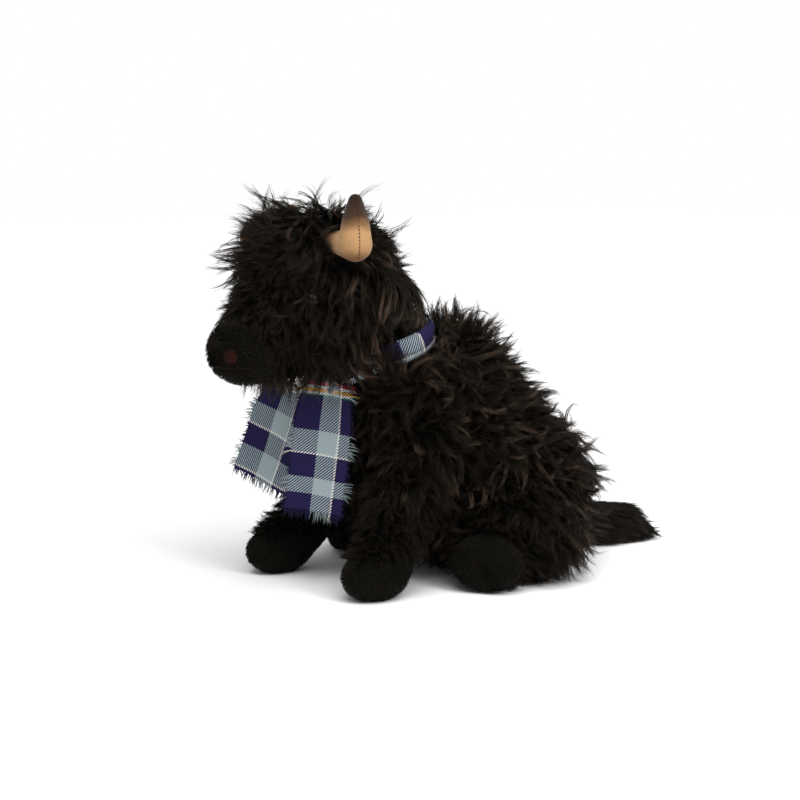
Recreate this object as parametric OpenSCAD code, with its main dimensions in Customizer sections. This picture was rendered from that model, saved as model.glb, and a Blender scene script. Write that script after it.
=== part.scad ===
// Sitting long-haired highland cow: a stuffed plush animal with suede horns and a tartan scarf.
// Millimetres. +Z is up, the animal faces -Y and its left side is +X.
// The origin is at the middle of the bounding box, on the surface that the animal sits on.

/* [Torso] */
// Half width of the rump
rump_rx = 92; // [86:1:96]
// Half length of the rump
rump_ry = 84; // [78:1:86]
// Half height of the rump
rump_rz = 70; // [66:1:74]
// Half width of the chest
chest_rx = 62; // [58:1:66]
// Half length of the chest
chest_ry = 56; // [52:1:58]
// Half height of the chest
chest_rz = 72; // [69:1:74]
// Depth of the long pile on the torso and the head
pile = 9; // [7:0.5:10]

/* [Head] */
// Half width of the skull
skull_rx = 60; // [56:1:62]
// Half length of the skull
skull_ry = 62; // [58:1:64]
// Half height of the skull
skull_rz = 60; // [56:1:62]
// Half width of the muzzle
muzzle_rx = 25; // [23:1:27]
// Half height of the muzzle
muzzle_rz = 23; // [21:1:25]
// Thickness of the short pile on the muzzle and the feet
velour = 3; // [2.5:0.5:3.5]
// Diameter of an eye
eye_d = 11; // [9:0.5:12]
// Diameter of the stuffed neck
neck_d = 68; // [64:1:70]
// Forward lean of the neck
neck_lean = 25; // [22:1:28]

/* [Horns and ears] */
// Diameter of a horn at its root
horn_root_d = 16; // [14:0.5:17]
// Diameter of a horn at its bend
horn_bend_d = 22; // [20:0.5:22.5]
// Diameter of a horn's tip
horn_tip_d = 10; // [8:0.5:11]
// Height of a horn above its root's axis
horn_height = 30; // [27:1:32]
// How far the right horn is folded back at rest
horn_right_fold = 72; // [60:1:74]
// Length of an ear
ear_length = 40; // [36:1:42]
// Half width of an ear
ear_half_w = 13; // [11:1:14]
// Droop of the ears below level
ear_droop = 31; // [26:1:34]

/* [Legs and tail] */
// Radius of a shoulder
shoulder_r = 28; // [26:1:29]
// Radius of a wrist
wrist_r = 23; // [21:1:24]
// Radius of a thigh, seen from above
thigh_r = 48; // [46:1:49]
// Half height of a thigh
thigh_rz = 46; // [44:1:47]
// Half width of a hind sole
sole_rx = 28; // [26:1:29]
// Outward turn of the hind feet
sole_turn = 35; // [30:1:38]
// Radius of the tail at its thickest
tail_mid_r = 17; // [14:0.5:18]
// Radius of the tail's tip
tail_tip_r = 6; // [5:0.5:7]

/* [Scarf] */
// Width of the scarf's hanging ends
scarf_w = 47; // [42:1:48]
// Length of the left hanging end
scarf_left_l = 86; // [78:1:88]
// Length of the right hanging end
scarf_right_l = 76; // [70:1:80]
// Thickness of the scarf cloth with its drape
scarf_t = 3; // [2.5:0.5:3.5]
// Radius of the loop round the neck, at the middle of the cloth
scarf_loop_r = 43; // [42:0.5:44]

/* [Hidden] */

// Smoothness of the exact surfaces, of the outer soft forms and of what lies inside them
$fn = 48;
soft_fn = 24;
inner_fn = 16;
limb_fn = 18;

// Clearances: between bodies that move on each other, and between pieces sewn into one body
move_gap = 0.5;
socket_gap = 1.2;
sew_gap = 0.15;
thread_gap = 0.05;
big = 600;

// Places of the soft forms, measured from the middle of the chest at ground level
rump_c = [0, 60, 64];
chest_c = [0, 0, 105];
withers_c = [0, 40, 130];
withers_r = [48, 42, 58];
skull_c = [0, -80, 222];
snout_c = [0, -128, 196];
snout_r = [36, 40, 32];
muzzle_c = [0, -152, 180];
muzzle_ry = 26;
neck_c = [0, -38, 178];
neck_r = neck_d / 2;
neck_cone = 8;
head_cut_gap = 2;
torso_cut_gap = 9.5;

belly_top = 34;
gusset_half = 14;

shoulder_c = [46, -24, 105];
wrist_c = [52, -62, 40];
forefoot_c = [54, -78, 17];
forefoot_r = [21, 28, 19];
right_forefoot_reach = [6, -6, 0];
leg_pile = 6;
ankle_z = 34;
foreleg_spread = 20;

thigh_c = [70, 46, 42];
sole_c = [93, -9, 21];
sole_rz = 21;
ball_of_foot_c = [0, 6, 21];
ball_of_foot_ry = 14;
heel_c = [0, 24, 24];
heel_r = [25, 20, 24];
sole_t = 2;
sole_front = 4.5;
sole_margin = [7, 6];
sole_reach = 20;
ankle_back = 13;

tail_root_c = [8, 128, 26];
tail_ball_r = 12;
tail_base_c = [13, 144, 23];
tail_base_r = 9;
tail_mid_c = [22, 174, 19];
tail_tip_c = [35, 220, 7];
tail_pile = 4;

horn_c = [34, -101, 255];
horn_out = 28;
horn_skin = 1.4;
seam_w = 0.8;
seam_h = 0.6;
seam_end_gap = 1;
seam_turn = 22;

ear_c = [53, -76, 240];
ear_t = 4.5;
ear_back = 10;
ear_root_in = 4;
ear_belly = [11, 0.55];
ear_end_r = [5, 6, 3.5];
slot_rise = 0.6;
slot_fall = 1.6;

eye_c = [41.5, -123, 217];
eye_aim = [86, 58];
shank_r = 2;
shank_l = 15;
washer_r = 8;
washer_t = 1.6;
washer_gap = 0.08;
washer_z = -13;
eye_back = 0.5;

label_size = [6, 12, 1.2];
label_c = [0, -54, 30];
label_tilt = 35;

pellet_c = [0, 78, 29];
pellet_r = [24, 26, 22];

embroidery_t = 0.8;
nostril_r = [4.5, 8, 5.5];
nostril_c = [14, -173, 178];
mouth_z = 169;
mouth_h = 1.4;
mouth_back_y = -160;

loop_drop = 8;
loop_half = [3.5, 7];
loop_bevel = 2;
loop_fn = 64;
knot_c = [0, -80, 147];
knot_r = [11, 8, 6];
left_end_top = [6, -76, 139.5];
left_end_facing = 40;
right_end_top = [-30, -86, 139];
right_end_facing = 20;
right_end_slant = 32;

// The animal is centred on the origin between the muzzle and the tip of the tail
front_y = muzzle_c[1] - muzzle_ry;
back_y = tail_tip_c[1] + tail_tip_r;
y_shift = -(front_y + back_y) / 2;

fur_black = [0.10, 0.09, 0.085];
velour_black = [0.13, 0.12, 0.115];
fibre_white = [0.92, 0.91, 0.88];
suede_tan = [0.80, 0.62, 0.42];
thread_brown = [0.24, 0.15, 0.10];
eye_black = [0.03, 0.03, 0.03];
nose_brown = [0.30, 0.16, 0.13];
scarf_navy = [0.16, 0.15, 0.34];
label_red = [0.72, 0.10, 0.12];

// ---- Shared shapes ----

module placed() translate([0, y_shift, 0]) children();

module above_ground(z = 0) intersection() {
    children();
    translate([-big / 2, -big / 2, z]) cube(big);
}

module ellipsoid(c, r, n = soft_fn) translate(c) scale(r) sphere(1, $fn = n);

function shrunk(r, inset) = [r[0] - inset, r[1] - inset, r[2] - inset];

// Everything on one side of the sagittal plane: side is 1 for the animal's left, -1 for its right
module half_space(side) translate([side > 0 ? 0 : -big, -big / 2, 0]) cube(big);

module mirrored(side) if (side > 0) children(); else mirror([1, 0, 0]) children();

// ---- Torso ----

module torso_form(inset, n = soft_fn) hull() {
    ellipsoid(rump_c, shrunk([rump_rx, rump_ry, rump_rz], inset), n);
    ellipsoid(chest_c, shrunk([chest_rx, chest_ry, chest_rz], inset), n);
    ellipsoid(withers_c, shrunk(withers_r, inset), n);
}

// The neck's socket, and the space beyond it: above the torso, or below the head
module neck_clearance(up) translate(neck_c) {
    reach = big / 5;
    gap = up ? torso_cut_gap : head_cut_gap;
    edge_z = gap + reach * tan(neck_cone);
    sphere(neck_r + socket_gap, $fn = soft_fn);
    rotate([neck_lean, 0, 0]) mirror([0, 0, up ? 0 : 1]) rotate_extrude($fn = soft_fn)
        polygon([[0, -gap], [reach, -edge_z], [reach, reach], [0, reach]]);
}

// The space that a leg sweeps through while it moves
module foreleg_sweep(side) mirrored(side) hull() for (a = [0, foreleg_spread])
    spread(a) {
        ellipsoid(shoulder_c, shrunk([shoulder_r, shoulder_r, shoulder_r], -socket_gap), inner_fn);
        ellipsoid(wrist_c, shrunk([wrist_r, wrist_r, wrist_r], -socket_gap), inner_fn);
    }

module thigh_clearance(side) mirrored(side)
    ellipsoid(thigh_c, shrunk([thigh_r, thigh_r, thigh_rz], -socket_gap));

module tail_clearance() translate(tail_root_c) sphere(tail_ball_r + socket_gap, $fn = inner_fn);

module torso_cuts() {
    neck_clearance(true);
    for (side = [-1, 1]) {
        foreleg_sweep(side);
        thigh_clearance(side);
    }
    tail_clearance();
}

module torso_shell() above_ground() difference() {
    torso_form(0);
    torso_form(pile, inner_fn);
    torso_cuts();
}

module torso_side(side) intersection() {
    torso_shell();
    half_space(side);
    translate([-big / 2, -big / 2, belly_top]) cube(big);
}

module torso_left_panel() color(fur_black) placed() torso_side(1);
module torso_right_panel() color(fur_black) placed() torso_side(-1);

module belly_panel() color(fur_black) placed() intersection() {
    torso_shell();
    translate([-big / 2, -big / 2, 0]) cube([big, big, belly_top]);
}

module torso_stuffing() color(fibre_white) placed() above_ground(pile) difference() {
    torso_form(pile + sew_gap, inner_fn);
    torso_cuts();
    ellipsoid(pellet_c, shrunk(pellet_r, -socket_gap), inner_fn);
}

// The bag lies on the base, between the thighs
module pellet_bag() color("gainsboro") placed() above_ground(pile) ellipsoid(pellet_c, pellet_r);

module seam_label() color(label_red) placed() difference() {
    translate(label_c) rotate([-label_tilt, 0, 0]) translate([-label_size[0] / 2, 0, 0]) cube(label_size);
    torso_form(0);
}

// ---- Neck ----

module neck_plug() color(fur_black) placed() translate(neck_c) sphere(neck_r);

// ---- Head ----

module head_form(inset, n = soft_fn) hull() {
    ellipsoid(skull_c, shrunk([skull_rx, skull_ry, skull_rz], inset), n);
    ellipsoid(snout_c, shrunk(snout_r, inset), n);
}

module muzzle_form(inset)
    ellipsoid(muzzle_c, shrunk([muzzle_rx, muzzle_ry, muzzle_rz], inset), soft_fn);

module horn_socket(side) mirrored(side) translate(horn_c) rotate([0, 90, 0])
    cylinder(h = horn_out, r = horn_bend_d / 2 + socket_gap, $fn = inner_fn);

// A slot that the ear's root turns in, with slanting walls that clear the leaf
module ear_socket(side) mirrored(side) translate(ear_c) rotate([0, 0, ear_back]) {
    slot_w = 2 * (ear_half_w - ear_root_in) + 2;
    rotate([90, 0, 0]) cylinder(h = slot_w, r = ear_t + socket_gap, center = true, $fn = inner_fn);
    rotate([90, 0, 0]) linear_extrude(slot_w, center = true)
        polygon([[0, ear_t + socket_gap], [ear_length, ear_length * slot_rise],
                 [ear_length, -ear_length * slot_fall], [0, -ear_t - socket_gap]]);
}

module eye_cut(side) at_eye(side) {
    translate([0, 0, -shank_l - sew_gap])
        cylinder(h = shank_l + eye_d / 4, r = shank_r + socket_gap / 2, $fn = inner_fn);
    sphere(eye_d / 2 + socket_gap / 2, $fn = inner_fn);
}

module head_cuts() {
    neck_clearance(false);
    for (side = [-1, 1]) {
        horn_socket(side);
        ear_socket(side);
        eye_cut(side);
    }
}

module head_shell() difference() {
    head_form(0);
    head_form(pile, inner_fn);
    muzzle_form(0);
    head_cuts();
}

module head_side(side) intersection() {
    head_shell();
    translate([side > 0 ? gusset_half : -gusset_half - big, -big / 2, 0]) cube(big);
}

module head_left_panel() color(fur_black) placed() head_side(1);
module head_right_panel() color(fur_black) placed() head_side(-1);

module head_middle(z) intersection() {
    head_shell();
    translate([-gusset_half, -big / 2, z]) cube([2 * gusset_half, big, big]);
}

module head_gusset() color(fur_black) placed() head_middle(muzzle_c[2]);

module chin_gusset() color(fur_black) placed() difference() {
    head_middle(0);
    translate([-gusset_half - 1, -big / 2, muzzle_c[2]]) cube(big);
}

module muzzle_cover() color(velour_black) placed() difference() {
    muzzle_form(0);
    muzzle_form(velour);
    head_form(pile, inner_fn);
}

module head_stuffing() color(fibre_white) placed() difference() {
    union() {
        head_form(pile + sew_gap, inner_fn);
        muzzle_form(velour + sew_gap);
    }
    head_cuts();
    for (side = [-1, 1]) at_eye(side)
        translate([0, 0, washer_z - sew_gap])
            cylinder(h = washer_t + 2 * sew_gap, r = washer_r + socket_gap / 2, $fn = inner_fn);
}

// ---- Eyes: a gloss dome on a shank, held by a washer inside the head ----

module at_eye(side) mirrored(side) translate(eye_c) rotate([0, 0, eye_aim[1]]) rotate([eye_aim[0], 0, 0])
    children();

module eye(side) color(eye_black) placed() at_eye(side) {
    intersection() {
        sphere(eye_d / 2);
        translate([-eye_d, -eye_d, -eye_back]) cube(2 * eye_d);
    }
    translate([0, 0, -shank_l]) cylinder(h = shank_l, r = shank_r);
}

module eye_washer(side) color("white") placed() at_eye(side) translate([0, 0, washer_z])
    difference() {
        cylinder(h = washer_t, r = washer_r);
        translate([0, 0, -1]) cylinder(h = washer_t + 2, r = shank_r + washer_gap);
    }

module eye_left() eye(1);
module eye_right() eye(-1);
module eye_washer_left() eye_washer(1);
module eye_washer_right() eye_washer(-1);

// ---- Embroidery on the muzzle ----

module on_muzzle() difference() {
    intersection() {
        muzzle_form(-embroidery_t);
        children();
    }
    muzzle_form(0);
    head_form(0);
}

module nostril(side) color(nose_brown) placed() mirrored(side) on_muzzle()
    ellipsoid(nostril_c, nostril_r);

module nostril_left() nostril(1);
module nostril_right() nostril(-1);

module mouth_stitch() color(nose_brown) placed() on_muzzle()
    translate([-muzzle_rx, mouth_back_y - big, mouth_z]) cube([2 * muzzle_rx, big, mouth_h]);

// ---- Horns: a suede skin over stuffing, with one sewn seam up the outside ----

// Root along +X, a quarter bend and a tapering point along +Z, all pulled in by inset
module horn_form(inset) {
    root_r = horn_root_d / 2 - inset;
    bend_r = horn_bend_d / 2 - inset;
    tip_r = horn_tip_d / 2 - inset;
    rotate([0, 90, 0]) cylinder(h = horn_out, r1 = root_r, r2 = bend_r);
    translate([horn_out, 0, 0]) {
        sphere(bend_r);
        horn_point(inset);
        translate([0, 0, horn_height]) sphere(tip_r);
    }
}

module horn_point(inset)
    cylinder(h = horn_height, r1 = horn_bend_d / 2 - inset, r2 = horn_tip_d / 2 - inset);

module at_horn(side) mirrored(side) translate(horn_c)
    rotate([side > 0 ? 0 : -horn_right_fold, 0, 0]) children();

module horn_skin(side) color(suede_tan) placed() at_horn(side) difference() {
    horn_form(0);
    horn_form(horn_skin);
}

module horn_stuffing(side) color(fibre_white) placed() at_horn(side)
    horn_form(horn_skin + sew_gap);

module horn_seam(side) color(thread_brown) placed() at_horn(side) translate([horn_out, 0, 0])
    difference() {
        intersection() {
            horn_point(-seam_h);
            rotate([0, 0, -seam_turn]) translate([0, -seam_w / 2, seam_end_gap])
                cube([horn_bend_d, seam_w, horn_height - 2 * seam_end_gap]);
        }
        horn_point(-thread_gap);
    }

module horn_left_skin() horn_skin(1);
module horn_right_skin() horn_skin(-1);
module horn_left_stuffing() horn_stuffing(1);
module horn_right_stuffing() horn_stuffing(-1);
module horn_left_seam() horn_seam(1);
module horn_right_seam() horn_seam(-1);

// ---- Ears: a leaf of fur cloth with a lining, turning on its sewn root ----

module ear_leaf() rotate([0, 0, ear_back]) rotate([0, ear_droop, 0]) hull() {
    ellipsoid([0, 0, 0], [ear_t, ear_half_w - ear_root_in, ear_t], limb_fn);
    ellipsoid([ear_length * ear_belly[1], 0, 0], [ear_belly[0], ear_half_w, ear_t], limb_fn);
    ellipsoid([ear_length - ear_end_r[0], 0, 0], ear_end_r, limb_fn);
}

module ear_layer(side, upper) placed() mirrored(side) translate(ear_c) intersection() {
    ear_leaf();
    rotate([0, 0, ear_back]) rotate([0, ear_droop, 0])
        translate([-big / 2, -big / 2, upper ? sew_gap / 2 : -big - sew_gap / 2]) cube(big);
}

module ear_left_fur() color(fur_black) ear_layer(1, true);
module ear_right_fur() color(fur_black) ear_layer(-1, true);
module ear_left_lining() color(velour_black) ear_layer(1, false);
module ear_right_lining() color(velour_black) ear_layer(-1, false);

// ---- Forelegs: a long-haired sleeve and a short-haired foot, turning on the shoulder ----

module spread(a) translate(shoulder_c) rotate([0, -a, 0]) translate(-shoulder_c) children();

// The right forefoot is set a little further out and forward than the left
module foreleg_form(side, inset) {
    foot_c = side > 0 ? forefoot_c : forefoot_c + right_forefoot_reach;
    hull() {
        ellipsoid(shoulder_c, shrunk([shoulder_r, shoulder_r, shoulder_r], inset), limb_fn);
        ellipsoid(wrist_c, shrunk([wrist_r, wrist_r, wrist_r], inset), limb_fn);
    }
    hull() {
        ellipsoid(wrist_c, shrunk([wrist_r, wrist_r, wrist_r], inset), limb_fn);
        ellipsoid(foot_c, shrunk(forefoot_r, inset), limb_fn);
    }
}

module foreleg_shell(side, thickness) above_ground() mirrored(side) difference() {
    foreleg_form(side, 0);
    foreleg_form(side, thickness);
}

module foreleg_sleeve(side) color(fur_black) placed() intersection() {
    foreleg_shell(side, leg_pile);
    translate([-big / 2, -big / 2, ankle_z]) cube(big);
}

module forefoot_cover(side) color(velour_black) placed() intersection() {
    foreleg_shell(side, velour);
    translate([-big / 2, -big / 2, 0]) cube([big, big, ankle_z]);
}

module foreleg_stuffing(side) color(fibre_white) placed() above_ground(velour) mirrored(side)
    foreleg_form(side, leg_pile + sew_gap);

module foreleg_left_sleeve() foreleg_sleeve(1);
module foreleg_right_sleeve() foreleg_sleeve(-1);
module forefoot_left_cover() forefoot_cover(1);
module forefoot_right_cover() forefoot_cover(-1);
module foreleg_left_stuffing() foreleg_stuffing(1);
module foreleg_right_stuffing() foreleg_stuffing(-1);

// ---- Hind legs: a round thigh with the foot in front of it, turning on an upright axis ----

module at_sole() translate([sole_c[0], sole_c[1], 0]) rotate([0, 0, sole_turn]) children();

module hindleg_form(inset) {
    ellipsoid(thigh_c, shrunk([thigh_r, thigh_r, thigh_rz], inset));
    at_sole() hull() {
        ellipsoid(ball_of_foot_c, shrunk([sole_rx, ball_of_foot_ry, sole_rz], inset), limb_fn);
        ellipsoid(heel_c, shrunk(heel_r, inset), limb_fn);
    }
}

module in_front_of_ankle() at_sole() translate([-big / 2, -big + ankle_back, -big / 2]) cube(big);
module behind_ankle() at_sole() translate([-big / 2, ankle_back, -big / 2]) cube(big);

// The sole is a flat oval patch let into the front of the foot
module sole_patch(grow) at_sole() translate([0, -sole_front, sole_c[2]]) rotate([90, 0, 0])
    scale([sole_rx - sole_margin[0] + grow, sole_rz - sole_margin[1] + grow, 1])
        cylinder(h = sole_reach, r = 1, $fn = soft_fn);

module hindleg_sleeve(side) color(fur_black) placed() above_ground() mirrored(side) difference() {
    hindleg_form(0);
    hindleg_form(leg_pile);
    in_front_of_ankle();
}

module hindfoot_cover(side) color(velour_black) placed() above_ground() mirrored(side) difference() {
    hindleg_form(0);
    hindleg_form(velour);
    behind_ankle();
    sole_patch(sew_gap);
}

module hindfoot_sole(side) color(velour_black) placed() above_ground() mirrored(side) intersection() {
    difference() {
        hindleg_form(0);
        hindleg_form(velour);
    }
    sole_patch(0);
}

module hindleg_stuffing(side) color(fibre_white) placed() above_ground(velour) mirrored(side)
    hindleg_form(leg_pile + sew_gap);

module hindleg_left_sleeve() hindleg_sleeve(1);
module hindleg_right_sleeve() hindleg_sleeve(-1);
module hindfoot_left_cover() hindfoot_cover(1);
module hindfoot_right_cover() hindfoot_cover(-1);
module hindfoot_left_sole() hindfoot_sole(1);
module hindfoot_right_sole() hindfoot_sole(-1);
module hindleg_left_stuffing() hindleg_stuffing(1);
module hindleg_right_stuffing() hindleg_stuffing(-1);

// ---- Tail: a brush of fur over a cloth core, on a ball at its root ----

module tail_root_core() color(fibre_white) placed() translate(tail_root_c) sphere(tail_ball_r);

module tail_form(inset) {
    hull() {
        translate(tail_base_c) sphere(tail_base_r - inset, $fn = limb_fn);
        translate(tail_mid_c) sphere(tail_mid_r - inset, $fn = limb_fn);
    }
    hull() {
        translate(tail_mid_c) sphere(tail_mid_r - inset, $fn = limb_fn);
        translate(tail_tip_c) sphere(tail_tip_r - inset, $fn = limb_fn);
    }
}

// The tail starts behind its ball
module tail_cut() translate(tail_root_c) sphere(tail_ball_r + move_gap);

module tail_fur() color(fur_black) placed() above_ground() difference() {
    tail_form(0);
    tail_form(tail_pile);
    tail_cut();
}

module tail_core() color(fibre_white) placed() above_ground() difference() {
    tail_form(tail_pile + sew_gap);
    tail_cut();
}

// ---- Scarf: a loop round the neck, a knot at the throat and two hanging ends ----

// The loop's section: the folded cloth, with its edges bevelled
module loop_section() {
    x = loop_half[0];
    z = loop_half[1];
    polygon([[x, loop_bevel - z], [x, z - loop_bevel], [x - loop_bevel, z], [loop_bevel - x, z],
             [-x, z - loop_bevel], [-x, loop_bevel - z], [loop_bevel - x, -z], [x - loop_bevel, -z]]);
}

module scarf_loop() color(scarf_navy) placed() difference() {
    translate(neck_c) rotate([neck_lean, 0, 0]) translate([0, 0, -loop_drop])
        rotate_extrude($fn = loop_fn) translate([scarf_loop_r, 0]) loop_section();
    ellipsoid(knot_c, shrunk(knot_r, -sew_gap), limb_fn);
}

module scarf_knot() color(scarf_navy) placed() ellipsoid(knot_c, knot_r, limb_fn);

// A hanging end: its top edge's middle, the way it faces round Z, and its slant in its own plane
module scarf_end(top, facing, slant, length) translate(top) rotate([0, slant, facing])
    translate([-scarf_w / 2, -scarf_t / 2, -length]) cube([scarf_w, scarf_t, length]);

module scarf_left_end() color(scarf_navy) placed()
    scarf_end(left_end_top, left_end_facing, 0, scarf_left_l);

module scarf_right_end() color(scarf_navy) placed() difference() {
    scarf_end(right_end_top, right_end_facing, right_end_slant, scarf_right_l);
    ellipsoid(knot_c, shrunk(knot_r, -move_gap), limb_fn);
}

// ---- Assembly ----

torso_left_panel();
torso_right_panel();
belly_panel();
torso_stuffing();
pellet_bag();
seam_label();
neck_plug();
head_left_panel();
head_right_panel();
head_gusset();
chin_gusset();
muzzle_cover();
head_stuffing();
eye_left();
eye_right();
eye_washer_left();
eye_washer_right();
nostril_left();
nostril_right();
mouth_stitch();
horn_left_skin();
horn_right_skin();
horn_left_stuffing();
horn_right_stuffing();
horn_left_seam();
horn_right_seam();
ear_left_fur();
ear_right_fur();
ear_left_lining();
ear_right_lining();
foreleg_left_sleeve();
foreleg_right_sleeve();
forefoot_left_cover();
forefoot_right_cover();
foreleg_left_stuffing();
foreleg_right_stuffing();
hindleg_left_sleeve();
hindleg_right_sleeve();
hindfoot_left_cover();
hindfoot_right_cover();
hindfoot_left_sole();
hindfoot_right_sole();
hindleg_left_stuffing();
hindleg_right_stuffing();
tail_root_core();
tail_fur();
tail_core();
scarf_loop();
scarf_knot();
scarf_left_end();
scarf_right_end();
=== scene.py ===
import math
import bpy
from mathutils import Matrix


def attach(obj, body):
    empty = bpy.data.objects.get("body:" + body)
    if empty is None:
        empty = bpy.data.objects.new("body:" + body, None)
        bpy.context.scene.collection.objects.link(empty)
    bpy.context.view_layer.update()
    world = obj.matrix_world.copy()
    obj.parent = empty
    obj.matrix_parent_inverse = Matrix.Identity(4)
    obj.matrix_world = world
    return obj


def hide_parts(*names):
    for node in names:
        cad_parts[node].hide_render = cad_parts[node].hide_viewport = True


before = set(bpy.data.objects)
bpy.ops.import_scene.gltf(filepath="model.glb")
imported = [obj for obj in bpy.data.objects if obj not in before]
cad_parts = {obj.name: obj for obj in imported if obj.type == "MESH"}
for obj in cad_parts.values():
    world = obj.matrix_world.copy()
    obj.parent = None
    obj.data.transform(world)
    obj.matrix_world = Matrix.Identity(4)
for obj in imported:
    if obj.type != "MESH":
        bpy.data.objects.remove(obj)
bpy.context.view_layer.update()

from types import SimpleNamespace

import bmesh
import bpy
import numpy as np
from mathutils import Vector
from mathutils.bvhtree import BVHTree

# Lengths are in part.scad's own millimetres, and place() turns them into the frame's metres.
MM = 0.001
Y_SHIFT = -24.0
FLOOR = 0.5
TAU = 2 * math.pi
DOWN = np.array([0.0, 0.0, -1.0])

# The soft forms, as in part.scad: each is (centre, radii), on the left where it has a side.
RUMP = ((0, 60, 64), (92, 84, 70))
CHEST = ((0, 0, 105), (62, 56, 72))
WITHERS = ((0, 40, 130), (48, 42, 58))
SNOUT = ((0, -128, 196), (36, 40, 32))
MUZZLE = ((0, -152, 180), (25, 26, 23))
NECK = ((0, -38, 178), (34, 34, 34))
SHOULDER = ((46, -24, 105), (28, 28, 28))
WRIST = ((52, -62, 40), (23, 23, 23))
FOREFOOT = ((54, -78, 17), (21, 28, 19))
RIGHT_FOREFOOT = ((60, -84, 17), (21, 28, 19))
THIGH = ((70, 46, 42), (48, 48, 46))
TAIL_BALL = ((8, 128, 26), (12, 12, 12))
TAIL_BASE = ((13, 144, 23), (9, 9, 9))
TAIL_MID = ((22, 174, 19), (17, 17, 17))
TAIL_TIP = ((35, 220, 7), (6, 6, 6))
SOLE_C = np.array([93.0, -9.0, 21.0])
SOLE_TURN = math.radians(35)
HORN_ROOT = np.array([34.0, -101.0, 255.0])
HORN_OUT = 28.0
HORN_HEIGHT = 30.0
HORN_BEND_R = 12.0
HORN_TIP_R = 5.0
RIGHT_FOLD = math.radians(72)
EAR_ROOT = np.array([53.0, -76.0, 240.0])
EAR_DROOP = math.radians(31)
EAR_BACK = math.radians(10)
EYE = np.array([41.5, -123.0, 217.0])
NECK_LEAN = math.radians(25)

# How far the cloth that the pile is rooted in lies under the CAD surface
COAT_DEPTH = 8.0
LEG_DEPTH = 5.0
VELOUR_DEPTH = 1.8
MUZZLE_DEPTH = 0.2


def rng_for(seed):
    return np.random.default_rng(seed)


def unit(v):
    v = np.asarray(v, float)
    return v / np.maximum(np.linalg.norm(v, axis=-1, keepdims=True), 1e-9)


def place(points):
    return (np.asarray(points, float) + [0, Y_SHIFT, 0]) * MM


def flip(points, side):
    """The same points on the animal's left (side 1) or right (side -1)."""
    return np.asarray(points, float) * [side, 1, 1]


def grown(form, by):
    return form[0], tuple(r + by for r in form[1])


def turned(points, axis, angle):
    """Points turned about an axis through the origin."""
    axis = unit(axis)
    p = np.asarray(points, float)
    along = (p @ axis)[..., None] * axis
    across = np.cross(axis, p)
    return p * math.cos(angle) + across * math.sin(angle) + along * (1 - math.cos(angle))


def vectors(x, y, z):
    """Vectors from three components, any of which may be one number for all of them."""
    return np.stack(np.broadcast_arrays(x, y, z), -1)


def rise(value, start, reach):
    """0 up to the start, then growing evenly to 1 over the reach."""
    return np.clip((value - start) / reach, 0, 1)


WAVE_COUNT = 4
WAVE_SPREAD = (0.6, 1.3)


def waves(points, length, seed):
    """A smooth vector field of about unit size, with bends about this length apart."""
    r = rng_for(seed)
    out = np.zeros(points.shape)
    for _ in range(WAVE_COUNT):
        k = unit(r.normal(size=(3, 3))) * TAU / length * r.uniform(*WAVE_SPREAD)
        out += np.sin(points @ k.T + r.uniform(0, TAU, 3))
    return out / math.sqrt(WAVE_COUNT)


# ---- Meshes ----


def new_object(name, mesh):
    o = bpy.data.objects.new(name, mesh)
    bpy.context.scene.collection.objects.link(o)
    return o


def finish_piece(o, mat, body):
    """Gives a piece its material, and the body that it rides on."""
    o.data.materials.append(mat)
    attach(o, body)


def mesh_of(name, points, quads, tris=()):
    """A smooth mesh in metres from points in millimetres and arrays of quads and triangles."""
    quads = np.asarray(quads, np.int32).reshape(-1, 4)
    tris = np.asarray(tris, np.int32).reshape(-1, 3)
    mesh = bpy.data.meshes.new(name)
    mesh.vertices.add(len(points))
    mesh.vertices.foreach_set("co", place(points).astype(np.float32).ravel())
    mesh.loops.add(quads.size + tris.size)
    mesh.loops.foreach_set("vertex_index", np.concatenate([quads.ravel(), tris.ravel()]))
    mesh.polygons.add(len(quads) + len(tris))
    starts = np.concatenate([np.arange(len(quads)) * 4, quads.size + np.arange(len(tris)) * 3])
    mesh.polygons.foreach_set("loop_start", starts.astype(np.int32))
    mesh.polygons.foreach_set("use_smooth", np.full(len(starts), True))
    mesh.update(calc_edges=True)
    return mesh


def settled(o, *modifiers):
    """The object's mesh after modifiers of (type, settings), as a new mesh; the object is removed."""
    for kind, settings in modifiers:
        m = o.modifiers.new(kind, kind)
        for key, value in settings.items():
            setattr(m, key, value)
    graph = bpy.context.evaluated_depsgraph_get()
    mesh = bpy.data.meshes.new_from_object(o.evaluated_get(graph))
    bpy.data.objects.remove(o)
    return mesh


def add_values(mesh, name, values):
    """One number for each point, which a material reads."""
    layer = mesh.attributes.new(name, "FLOAT", "POINT")
    layer.data.foreach_set("value", values.astype(np.float32))


def add_map(mesh, name, pairs):
    """A UV map from one pair of coordinates for each point."""
    corners = np.zeros(len(mesh.loops), np.int32)
    mesh.loops.foreach_get("vertex_index", corners)
    layer = mesh.uv_layers.new(name=name)
    layer.data.foreach_set("uv", pairs[corners].astype(np.float32).ravel())


BALL_RINGS = 22


def ball_points(form, side=1):
    centre, radii = form
    lat = np.linspace(0, math.pi, BALL_RINGS + 1)
    lon = np.linspace(0, TAU, 2 * BALL_RINGS, endpoint=False)
    a, b = np.meshgrid(lat, lon)
    p = np.stack([np.sin(a) * np.cos(b), np.sin(a) * np.sin(b), np.cos(a)], -1).reshape(-1, 3)
    return flip(p * radii + centre, side)


def capsule(first, second, side=1):
    """Points of two balls, whose hull is the form between them."""
    return np.vstack([ball_points(first, side), ball_points(second, side)])


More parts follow.
